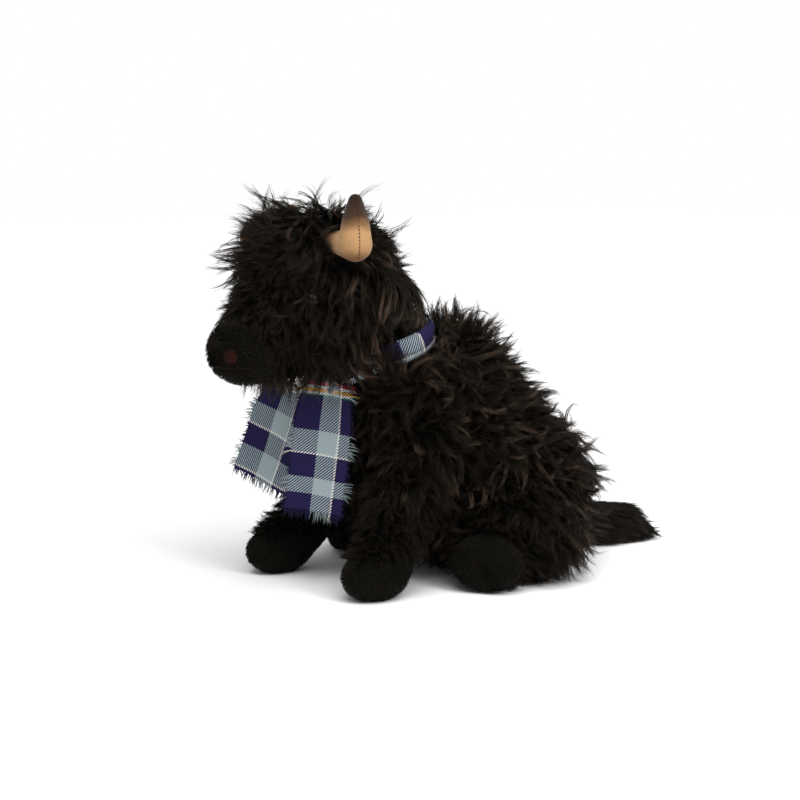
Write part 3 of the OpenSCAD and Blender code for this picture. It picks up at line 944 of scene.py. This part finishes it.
def head_flow(p):
    """The coat falls from the crown on all sides, and down over the cheeks."""
    away = unit(p - CROWN)
    front = rise(-p[:, 1], 95, 60)[:, None]
    side = vectors(np.sign(p[:, 0]) * 0.5, 0.15, -0.9)
    return unit(away * (1 - 0.5 * front) + side * (0.35 + 0.5 * front))


def head_length(p):
    """Short on the face and at the nape, and a little longer under the cheeks."""
    front = rise(-p[:, 1], 105, 45)
    low = rise(-p[:, 2], -190, 40)
    return 42 - 23 * front + 4 * low * (1 - front) - 22 * rise(p[:, 1], -85, 30)


def head_shade(p):
    """Painted shade: the lock tips are darkened on the face, less towards the cheeks, and not at the
    back of the head.
    """
    return np.clip((p[:, 1] + 138) / 50, 0.22, 1)


def make_head():
    skin = head_skin()
    dressed("head_cloth", skin.part("head_cloth"), UNDERFUR, "head", "long_fur", "head_left_panel",
            "head_right_panel", "head_gusset", "chin_gusset", "head_stuffing")
    keep = every(outside(NECK, 2), outside(MUZZLE, 1), outside(EYE_SPACE),
                 outside(HORN_SPACE, 0, (1,)))
    shaggy("head_coat", "head", skin, spacing=5.2, count=13, flow=head_flow, length=head_length,
           seed=200, keep=keep, spread=3.0, lift=0.5, droop=0.2, sway=0.75, yaw=0.5, stand=7.5,
           wave=28.0, clump=0.95, shade=head_shade)
    spiky = every(keep, lambda p: (p[:, 1] > -128) | (p[:, 2] > 215))
    shaggy("head_spikes", "head", skin, spacing=10.0, count=9, flow=head_flow,
           length=lambda p: head_length(p) * 0.75, seed=220, keep=spiky, spread=2.4, lift=1.5,
           droop=0.18, sway=0.9, yaw=0.8, stand=13.0, wave=24.0, clump=0.97, shade=head_shade)

    def under_chin(p):
        return (p[:, 2] < 180) & (p[:, 1] < -112) & (p[:, 1] > -150) & (p[:, 0] < 16)

    shaggy("beard", "head", skin, spacing=4.6, count=11, flow=np.array([-0.15, -0.25, -1.0]),
           length=36.0, seed=280, keep=under_chin, spread=2.6, lift=0.7, droop=0.5, sway=0.6,
           yaw=0.4, stand=6.0, clump=0.96)
    cover_right_horn(skin)
    on_crown = every(keep, lambda p: p[:, 2] > 250)
    shaggy("crown_wisps", "head", skin, spacing=13.0, count=9, flow=lambda p: p - WISP_CENTRE,
           length=44.0, seed=260, keep=on_crown, spread=2.5, lift=1.6, droop=0.1, sway=0.8,
           yaw=0.9, stand=14.0, width=(0.3, 0.5), clump=0.97, frizz=1.2)
    make_muzzle()
    for node, mat in (("eye_left", EYE_GLOSS), ("eye_right", EYE_GLOSS),
                      ("eye_washer_left", WASHER), ("eye_washer_right", WASHER),
                      ("nostril_left", EMBROIDERY), ("nostril_right", EMBROIDERY),
                      ("mouth_stitch", MOUTH_THREAD), ("seam_label", LABEL)):
        paint(node, mat)


def cover_right_horn(skin):
    """Locks that root beside the right horn and fall over it."""
    groups = [head_points()] + [horn_rotation(g, -1) for g in horn_groups()]
    over = Skin(groups, voxel=2.0, relax=3)
    root = flip(HORN_ROOT, -1)

    def beside(p):
        return (np.linalg.norm(p - root - [2, -8, 6], axis=1) < 30) & (p[:, 0] < -8)

    p, n = skin.roots(2.5, 240, beside)
    flow = np.array([-1.0, 0.05, 0.4]) + waves(p, 30.0, 241) * 0.3
    guides = grow(over, p, n, flow, 50.0, 242, lift=0.8, droop=0.1, sway=0.4, yaw=0.2, stand=5.0)
    cover_coat("horn_right_cover", "head", guides, n, count=15, spread=2.6, clump=0.9, bright=0.2,
               width=(0.34, 0.6), seed=243)


def paint(node, mat):
    """Gives a carried CAD node a finished material in place of its plain one."""
    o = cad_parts[node]
    o.data.materials.clear()
    o.data.materials.append(mat)


def make_muzzle():
    skin = Skin([ball_points(grown(MUZZLE, -MUZZLE_DEPTH))], voxel=1.6, relax=4)
    dressed("muzzle_cloth", skin.part("muzzle_cloth"), VELOUR_BASE, "head", "short_pile",
            "muzzle_cover")

    def off_mouth(p):
        return (np.abs(p[:, 2] - MOUTH_HEIGHT) > 0.5) | (p[:, 1] > -162)

    bare = every(outside(grown(SNOUT, -12)), outside(NOSTRIL_SPACE), off_mouth)
    velour("muzzle_pile", "head", skin, 1.15, 300, bare, length=3.8,
           flow=np.array([0.0, 1.0, -0.3]), lift=2.4)


# ---- Horns ----


STITCH_PITCH = 2.4
STITCH_LENGTH = 1.35
THREAD = 0.9


def horn_rotation(points, side):
    """Horn points, drawn upright on the left, put on their side and folded back on the right."""
    p = np.asarray(points, float)
    if side < 0:
        p = turned(p, (1, 0, 0), -RIGHT_FOLD)
    return flip(p + HORN_ROOT, side)


def horn_radius(z):
    share = np.clip(z, 0, HORN_HEIGHT) / HORN_HEIGHT
    return HORN_BEND_R + (HORN_TIP_R - HORN_BEND_R) * share


def horn_groups():
    """The horn's outer stretch and its upright point, with the point a little full at its middle."""
    bend = ((HORN_OUT, 0, 0), (HORN_BEND_R - 0.2,) * 3)
    root = ((0, 0, 1), (6.6, 6.6, 6.6))
    middle = ((HORN_OUT, 0, HORN_HEIGHT * 0.5), (9.6, 9.6, 9.6))
    tip = ((HORN_OUT, 0, HORN_HEIGHT), (HORN_TIP_R - 0.1,) * 3)
    return [np.vstack([ball_points(root), ball_points(bend)]),
            np.vstack([ball_points(bend), ball_points(middle), ball_points(tip)])]


def make_horn(side, name):
    """The horn's suede, with a value that says how far up the horn each point is, and stitches."""
    skin = Skin(horn_groups(), voxel=0.9, relax=4, floor=-99)
    mesh = mesh_of(name, horn_rotation(skin.points, side),
                   skin.quads if side > 0 else skin.quads[:, ::-1])
    out, high = skin.points[:, 0], skin.points[:, 2]
    up = np.where(out < HORN_OUT - 9, 0.02 + out * 0.012, 0.30 + np.clip(high, -10, 99) * 0.02)
    add_values(mesh, "up_horn", up)
    dressed(name, mesh, SUEDE, name, "horn_suede", f"{name}_skin", f"{name}_stuffing")
    make_stitches(side, name)


def make_stitches(side, name):
    """A row of short stitches up the outer side of the horn."""
    turn = math.radians(-22)
    fibres = []
    for z in np.arange(-9.0, HORN_HEIGHT + 2.5, STITCH_PITCH):
        path = []
        for dz in np.linspace(0, STITCH_LENGTH, 4):
            h = z + dz
            low = math.sqrt(max(1 - (min(h, 0) / HORN_BEND_R) ** 2, 0.05))
            high = math.sqrt(max(1 - (max(h - HORN_HEIGHT, 0) / HORN_TIP_R) ** 2, 0.05))
            full = 1.1 * math.sin(math.pi * min(max(h / HORN_HEIGHT, 0), 1))
            r = (horn_radius(np.array(h)) + full) * low * high + 0.1
            path.append([HORN_OUT + r * math.cos(turn), r * math.sin(turn), h])
        fibres.append(path)
    fibres = horn_rotation(np.array(fibres), side)
    o = tubes(f"{name}_stitches", fibres, THREAD, np.full(len(fibres), 0.5), sides=5)
    finish_piece(o, SEAM_THREAD, name)
    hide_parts(f"{name}_seam")


# ---- Ears ----


EAR_LEAF = [((0, 0, 0), (3.2, 8, 3.2)), ((22, 0, 0), (10, 12, 3.4)), ((34, 0, 0), (5, 5, 2.6))]


def ear_rotation(points, side):
    p = turned(points, (0, 1, 0), EAR_DROOP)
    p = turned(p, (0, 0, 1), EAR_BACK)
    return flip(p + EAR_ROOT, side)


def make_ear(side, name):
    points = ear_rotation(np.vstack([ball_points(f) for f in EAR_LEAF]), side)
    skin = Skin([points], voxel=1.6, relax=3)
    dressed(f"{name}_cloth", skin.part(name), UNDERFUR, name, "long_fur", f"{name}_fur",
            f"{name}_lining")
    flow = np.array([side * 0.8, 0.15, -0.7])
    shaggy(f"{name}_coat", name, skin, spacing=4.2, count=12, flow=flow, length=34.0,
           seed=400 + side, spread=2.4, lift=0.25, droop=0.5, sway=0.4, stand=3.0)


# ---- Legs ----


# Where long fur gives way to short pile: a height on the foreleg, a depth behind the sole
WRIST_LINE = 34.0
ANKLE = 13.0
GROUND_CLEAR = 1.2
DIMPLE_DEPTH = 5.5


def leg_flow(p):
    return vectors(p[:, 0] * 0.003, 0.2, -1.0)


def make_foreleg(side, body, foot):
    """One foreleg: long fur down to the ankle, and short pile on the foot."""
    paw = FOREFOOT if side > 0 else RIGHT_FOREFOOT
    leg = [capsule(grown(SHOULDER, -LEG_DEPTH), grown(WRIST, -LEG_DEPTH), side),
           capsule(grown(WRIST, -LEG_DEPTH + 1), grown(paw, -VELOUR_DEPTH), side)]
    skin = Skin(leg, voxel=2.4)
    dressed(f"{body}_cloth", skin.part(body, lambda c: c[:, 2] >= WRIST_LINE), UNDERFUR, body,
            "long_fur", f"{body}_sleeve", f"{body}_stuffing")
    dressed(f"{foot}_cloth", skin.part(foot, lambda c: c[:, 2] < WRIST_LINE), VELOUR_BASE, body,
            "short_pile", f"{foot}_cover")
    keep = every(outside(CHEST, -10), lambda p: p[:, 2] > WRIST_LINE - 4)
    # The shade value darkens the lock tips towards the bottom of the leg as painted shade
    shaggy(f"{body}_coat", body, skin, spacing=4.4, count=13, flow=leg_flow,
           length=lambda p: 9 + 16 * rise(p[:, 2], WRIST_LINE, 40), seed=500 + side * 10, keep=keep,
           spread=2.8, lift=0.8, droop=0.2, sway=0.6, yaw=0.6, stand=6.0, wave=22.0, clump=0.75,
           shade=lambda p: 0.2 + 0.8 * rise(p[:, 2], 55, 40))
    velour(f"{foot}_pile", body, skin, 1.25, 540 + side,
           lambda p: (p[:, 2] <= WRIST_LINE) & (p[:, 2] > GROUND_CLEAR), length=3.2)


def sole_points(form, side):
    """Points of a form given in the hind foot's own turned axes."""
    p = ball_points(form)
    p = turned(p, (0, 0, 1), SOLE_TURN) + [SOLE_C[0], SOLE_C[1], 0]
    return flip(p, side)


def in_sole_axes(p, side):
    q = flip(p, side) - [SOLE_C[0], SOLE_C[1], 0]
    return turned(q, (0, 0, 1), -SOLE_TURN)


def into_foot(side):
    """The direction from the sole into the foot."""
    return flip(turned(np.array([0.0, 1.0, 0.0]), (0, 0, 1), SOLE_TURN), side)


def press_dimple(skin, side):
    """Presses in the small dimple that the photo shows in the middle of the sole."""
    at = in_sole_axes(skin.points, side)
    near = np.exp(-((at[:, 0] - 1) / 5.5) ** 2 - ((at[:, 2] - 17) / 7) ** 2)
    depth = np.where(at[:, 1] < 5, near, 0) * DIMPLE_DEPTH
    skin.points = skin.points + depth[:, None] * into_foot(side)


def make_hindleg(side, body, foot):
    """One hind leg: the furry thigh, and short pile on the foot, whose sole faces forwards."""
    sole = grown(((0, 6, 21), (28, 14, 21)), -VELOUR_DEPTH)
    heel = ((0, 24, 24), (25 - VELOUR_DEPTH, 20, 24 - VELOUR_DEPTH))
    leg = [ball_points(grown(THIGH, -LEG_DEPTH - 1), side),
           np.vstack([sole_points(sole, side), sole_points(heel, side)])]
    skin = Skin(leg, voxel=2.6)
    press_dimple(skin, side)

    def behind_sole(p):
        return in_sole_axes(p, side)[:, 1]

    dressed(f"{body}_cloth", skin.part(body, lambda c: behind_sole(c) >= ANKLE), UNDERFUR, body,
            "long_fur", f"{body}_sleeve", f"{body}_stuffing")
    dressed(f"{foot}_cloth", skin.part(foot, lambda c: behind_sole(c) < ANKLE), VELOUR_BASE, body,
            "short_pile", f"{foot}_cover", f"{foot}_sole")
    keep = every(lambda p: (behind_sole(p) > ANKLE - 1) & (p[:, 2] > 4), outside(RUMP, -9),
                 outside(CHEST, -9))

    def length(p):
        return (16 + 24 * rise(behind_sole(p), ANKLE, 30)) * (0.45 + 0.55 * rise(p[:, 2], 4, 40))

    def flow(p):
        return vectors(np.sign(p[:, 0]) * 0.3, 0.5, -0.9)

    # The shade value darkens the lock tips towards the front of the thigh, by the foot, as painted
    # shade
    shaggy(f"{body}_coat", body, skin, spacing=5.6, count=13, flow=flow, length=length,
           seed=600 + side * 10, keep=keep, spread=3.2, lift=0.55, droop=0.2, sway=0.75, yaw=0.55,
           stand=7.5, wave=28.0, clump=0.95, shade=lambda p: 0.35 + 0.65 * rise(p[:, 1], 10, 60))
    velour(f"{foot}_pile", body, skin, 1.25, 640 + side,
           lambda p: (behind_sole(p) <= ANKLE + 2) & (p[:, 2] > GROUND_CLEAR), length=2.8)


# ---- Tail ----


TAIL_BRUSH = ((28, 195, 17), (12, 13, 14.5))


def make_tail():
    root = Skin([ball_points(grown(TAIL_BALL, -1))], voxel=1.5)
    dressed("tail_root_cloth", root.part("tail_root_cloth"), UNDERFUR, "tail_root", "long_fur",
            "tail_root_core")
    forms = [grown(TAIL_BASE, 3.5), grown(TAIL_MID, -2), TAIL_BRUSH, grown(TAIL_TIP, -3)]
    skin = Skin([capsule(a, b) for a, b in zip(forms, forms[1:])], voxel=1.8, relax=4)
    dressed("tail_cloth", skin.part("tail_cloth"), UNDERFUR, "tail", "long_fur", "tail_fur",
            "tail_core")
    shaggy("tail_coat", "tail", skin, spacing=4.0, count=12, flow=np.array([0.27, 0.93, -0.2]),
           length=lambda p: 27 - 11 * rise(p[:, 1], 190, 25), seed=700, spread=2.2, lift=0.06,
           droop=0.12, sway=0.12, yaw=0.12, stand=1.6, clump=0.6, shade=0.5, frizz=0.5)


# ---- Scarf ----


CLOTH = 0.9
YARN = 0.7
FRINGE_SAG = 0.25

# How far frayed threads start inside the edge, and how far they reach out of it
TUCK = 0.6
DARK_FRAY = 4.0
PALE_FRAY = 8.0
FOOT_FRAY = 7.0
SIDE_THREADS = 150
FOOT_THREADS = 110

# A hanging end's mesh, and how far it runs up under the knot
END_ROWS = 60
END_COLUMNS = 34
END_TUCK = 6

LOOP_WIDTH = 47.0
LOOP_RADIUS = 43.0
LOOP_TURNS = 160
LOOP_COLUMNS = 40
LOOP_REPEAT = 110
KNOT = ((0, -76, 147), (9.0, 6.5, 6.0))


def sheet_mesh(name, grid, threads):
    """A closed thin cloth from a grid of points (rows, columns, 3), with its thread coordinates."""
    rows, columns, _ = grid.shape
    du, dv = np.gradient(grid, axis=1), np.gradient(grid, axis=0)
    half = unit(np.cross(du, dv)) * CLOTH / 2
    points = np.concatenate([(grid + half).reshape(-1, 3), (grid - half).reshape(-1, 3)])
    n = rows * columns
    index = np.arange(n).reshape(rows, columns)
    a, b, c, d = index[:-1, :-1], index[:-1, 1:], index[1:, 1:], index[1:, :-1]
    front = np.stack([a, b, c, d], -1).reshape(-1, 4)
    rim = np.concatenate([index[0, :-1], index[:-1, -1], index[-1, :0:-1], index[:0:-1, 0]])
    after = np.roll(rim, -1)
    edge = np.stack([after, rim, rim + n, after + n], -1)
    mesh = mesh_of(name, points, np.concatenate([front, front[:, ::-1] + n, edge]))
    add_map(mesh, "threads", np.tile(threads.reshape(-1, 2), (2, 1)))
    return mesh


def colour_at(stops, mm):
    for start, colour in reversed(stops):
        if mm >= start:
            return colour
    return stops[0][1]


def make_fringe(name, body, roots, outward, colours, length, seed):
    """Frayed threads along the edges: roots, the directions out, colours and lengths."""
    r = rng_for(seed)
    n = len(roots)
    long = r.uniform(0.45, 1.15, (n, 1)) * length
    d = unit(outward + r.normal(0, 0.22, (n, 3)))
    t = np.linspace(0, 1, 5)[None, :, None]
    fibres = roots[:, None] + d[:, None] * long[:, None] * t
    fibres = fibres + DOWN * FRINGE_SAG * long[:, None] * t ** 2
    fibres = fibres + r.normal(0, 0.25, (n, 1, 3)) * t
    o = tubes(name, fibres, YARN, np.full(n, 0.5))
    shade = r.uniform(0.75, 1.1, (n, 1))
    per = len(o.data.vertices) // n
    rgba = np.ones((n, per, 4))
    rgba[:, :, :3] = (np.array(colours) * shade)[:, None]
    attribute = o.data.color_attributes.new("thread_colour", "FLOAT_COLOR", "POINT")
    attribute.data.foreach_set("color", rgba.astype(np.float32).ravel())
    finish_piece(o, FRINGE, body)
    return o


def frayed_edge(r, line, inner, first, count):
    """Threads along an edge line: roots, the ways out from the line inside it, and places."""
    at = np.sort(r.uniform(first, len(line) - 1.01, count))
    low = at.astype(int)
    part = (at - low)[:, None]
    away = unit(line[low] - inner[low])
    return line[low] * (1 - part) + line[low + 1] * part - away * TUCK, away, low, part[:, 0]


def end_grid(top, facing, slant, length, width, curl, seed):
    """The points of a hanging end, and the thread coordinates of each in millimetres."""
    down = np.linspace(-END_TUCK, length, END_ROWS)[:, None]
    across = np.linspace(-0.5, 0.5, END_COLUMNS)[None]
    share = down / length
    hung = np.maximum(share, 0)
    wide = width * (0.84 + 0.16 * np.minimum(1, hung * 3))
    ripple = np.sin(across * 7.0 + 1.3 + share * 1.5) * 1.3 * (1.1 - 0.5 * share)
    bow = -(across * 2) ** 2 * curl * hung
    grid = vectors(across * wide, ripple * 0.8 + bow, -down)
    thread = np.stack(np.broadcast_arrays((across + 0.5) * width, down + END_TUCK), -1)
    grid = grid + waves(grid, 60.0, seed) * [0.0, 0.7, 0.0]
    grid = turned(grid, (0, 1, 0), math.radians(slant))
    grid = turned(grid, (0, 0, 1), math.radians(facing))
    return grid + np.array(top), thread


def make_end(side, top, facing, slant, length, width, curl, weft, mat, seed):
    """A hanging scarf end with frayed sides and bottom."""
    body = f"scarf_{side}"
    name = f"{body}_cloth"
    grid, thread = end_grid(top, facing, slant, length, width, curl, seed)
    o = dressed(name, sheet_mesh(name, grid, thread), mat, body, "tartan", f"{body}_end")
    r = rng_for(seed)
    edges = []
    for column, inner in ((0, 1), (-1, -2)):
        roots, away, low, part = frayed_edge(r, grid[:, column], grid[:, inner], 1, SIDE_THREADS)
        mm = thread[low, column, 1] + part * (thread[1, 0, 1] - thread[0, 0, 1])
        colours = [colour_at(weft, x) for x in mm]
        reach = np.array([DARK_FRAY if c == NAVY else PALE_FRAY for c in colours])
        edges.append((roots, away, colours, reach))
    roots, away, low, _ = frayed_edge(r, grid[-1], grid[-2], 0, FOOT_THREADS)
    colours = [colour_at(WARP, x) for x in thread[-1, low, 0]]
    edges.append((roots, away, colours, np.full(len(roots), FOOT_FRAY)))
    roots, away, colours, reach = (np.concatenate(column) for column in zip(*edges))
    fringe = make_fringe(f"{name}_fringe", body, roots, away, colours, reach[:, None], seed + 5)


def make_loop():
    """The scarf folded lengthwise in three and laid round the neck."""
    a = np.linspace(0, TAU, LOOP_TURNS)[:, None]
    s = np.linspace(0, 1, LOOP_COLUMNS)[None]
    fold = np.abs(((s * 3 + 1) % 2) - 1)
    lifted = 10.0 * np.maximum(np.cos(a - math.radians(65)), 0) ** 2
    high = (fold - 0.5) * 17.0 + np.sin(3 * a) + lifted - 8
    out = 41.0 + s * 4.2 + np.sin(fold * 5 + 2 * np.sin(2 * a)) * 0.8 + 0.7 * np.sin(5 * a)
    grid = vectors(out * np.sin(a), -out * np.cos(a), high)
    grid = turned(grid, (1, 0, 0), NECK_LEAN) + np.array(NECK[0])
    thread = np.stack(np.broadcast_arrays(s * LOOP_WIDTH, (a * LOOP_RADIUS) % LOOP_REPEAT), -1)
    mesh = sheet_mesh("scarf_loop_cloth", grid, thread)
    o = dressed("scarf_loop_cloth", mesh, TARTAN_RIGHT, "torso", "tartan", "scarf_loop")


def make_knot():
    """The knot: a small ball of folded cloth with a few slanting ridges."""
    skin = Skin([ball_points(KNOT)], voxel=1.1, relax=2)
    local = skin.points - KNOT[0]
    ridge = np.sin(local[:, 0] * 0.9 + local[:, 2] * 0.7) * 0.7
    mesh = mesh_of("scarf_knot_cloth", skin.points + skin.normals * ridge[:, None], skin.quads)
    around = np.arctan2(local[:, 1], local[:, 2])
    add_map(mesh, "threads", np.stack([local[:, 0] + 24, around * 9 + 40], -1))
    o = dressed("scarf_knot_cloth", mesh, TARTAN_LEFT, "torso", "tartan", "scarf_knot")


def make_scarf():
    make_loop()
    make_knot()
    make_end("left", top=(3, -83, 148), facing=40, slant=7, length=93, width=43, curl=1.5,
             weft=WEFT_BRIGHT, mat=TARTAN_LEFT, seed=800)
    make_end("right", top=(-33, -91, 142), facing=22, slant=21, length=75, width=50, curl=1.0,
             weft=WEFT_PLAIN, mat=TARTAN_RIGHT, seed=820)


# ---- Studio ----


# The photo's view: a camera turned from the front towards the animal's left, and a little raised
CAMERA_LENS = 81.25
CAMERA_TURN = math.radians(52)
CAMERA_RISE = math.radians(8)
CAMERA_DISTANCE = 1.3
CAMERA_TARGET = (0.0477, -0.0749, 0.1412)

SKY_LIGHT = 0.42
SUN_POWER = 2.6
SUN_FROM = (0.42, -0.25, 1.0)
KEY_PLACE = (1.7, 0.1, 1.3)
KEY_AIM = (0, 0, 0.12)
KEY_SIZE = 0.7
KEY_POWER = 16.0
FLOOR_HALF = 6.0


def place_camera():
    camera = bpy.data.cameras.new("camera")
    camera.lens = CAMERA_LENS
    camera.sensor_width = 36.0
    camera.clip_start = 0.01
    camera.clip_end = 100.0
    o = new_object("camera", camera)
    back = Vector((math.sin(CAMERA_TURN) * math.cos(CAMERA_RISE),
                   -math.cos(CAMERA_TURN) * math.cos(CAMERA_RISE), math.sin(CAMERA_RISE)))
    o.location = Vector(CAMERA_TARGET) + back * CAMERA_DISTANCE
    o.rotation_euler = (-back).to_track_quat("-Z", "Y").to_euler()
    bpy.context.scene.camera = o


def make_sky():
    """A soft sky that lights the part, and the same white at full strength behind it."""
    world = bpy.data.worlds.new("studio")
    bpy.context.scene.world = world
    world.use_nodes = True
    tree = world.node_tree
    sky = tree.nodes["Background"]
    backdrop = tree.nodes.new("ShaderNodeBackground")
    for node, strength in ((sky, SKY_LIGHT), (backdrop, 1.0)):
        node.inputs["Color"].default_value = (1.0, 1.0, 1.0, 1)
        node.inputs["Strength"].default_value = strength
    choose = tree.nodes.new("ShaderNodeMixShader")
    seen = tree.nodes.new("ShaderNodeLightPath")
    tree.links.new(seen.outputs["Is Camera Ray"], choose.inputs[0])
    tree.links.new(sky.outputs[0], choose.inputs[1])
    tree.links.new(backdrop.outputs[0], choose.inputs[2])
    tree.links.new(choose.outputs[0], tree.nodes["World Output"].inputs["Surface"])


def make_lights():
    sun = bpy.data.lights.new("overhead_light", "SUN")
    sun.energy = SUN_POWER
    sun.angle = math.radians(50)
    high = new_object("overhead_light", sun)
    high.rotation_euler = Vector(SUN_FROM).to_track_quat("Z", "Y").to_euler()
    box = bpy.data.lights.new("key_light", "AREA")
    box.shape = "DISK"
    box.size = KEY_SIZE
    box.energy = KEY_POWER
    lamp = new_object("key_light", box)
    lamp.location = KEY_PLACE
    toward = Vector(KEY_AIM) - Vector(KEY_PLACE)
    lamp.rotation_euler = toward.to_track_quat("-Z", "Y").to_euler()


def make_floor():
    mesh = bpy.data.meshes.new("floor")
    corners = [(x * FLOOR_HALF, y * FLOOR_HALF, 0) for x, y in ((-1, -1), (1, -1), (1, 1), (-1, 1))]
    mesh.from_pydata(corners, [], [(0, 1, 2, 3)])
    floor = new_object("floor", mesh)
    paper, t = material("floor_paper", 0.9, 0.1)
    t.colour(t.ramp(t.noise(3.0), [(0.3, (0.93,) * 3), (0.7, (0.96,) * 3)]))
    floor.data.materials.append(paper)


def make_studio():
    place_camera()
    bpy.context.scene.view_settings.view_transform = "Standard"
    make_sky()
    make_lights()
    make_floor()


SIDES = ((1, "left"), (-1, "right"))

make_studio()
make_torso()
make_head()
for side, word in SIDES:
    make_horn(side, f"horn_{word}")
for side, word in SIDES:
    make_ear(side, f"ear_{word}")
for side, word in SIDES:
    make_foreleg(side, f"foreleg_{word}", f"forefoot_{word}")
    make_hindleg(side, f"hindleg_{word}", f"hindfoot_{word}")
make_tail()
make_scarf()
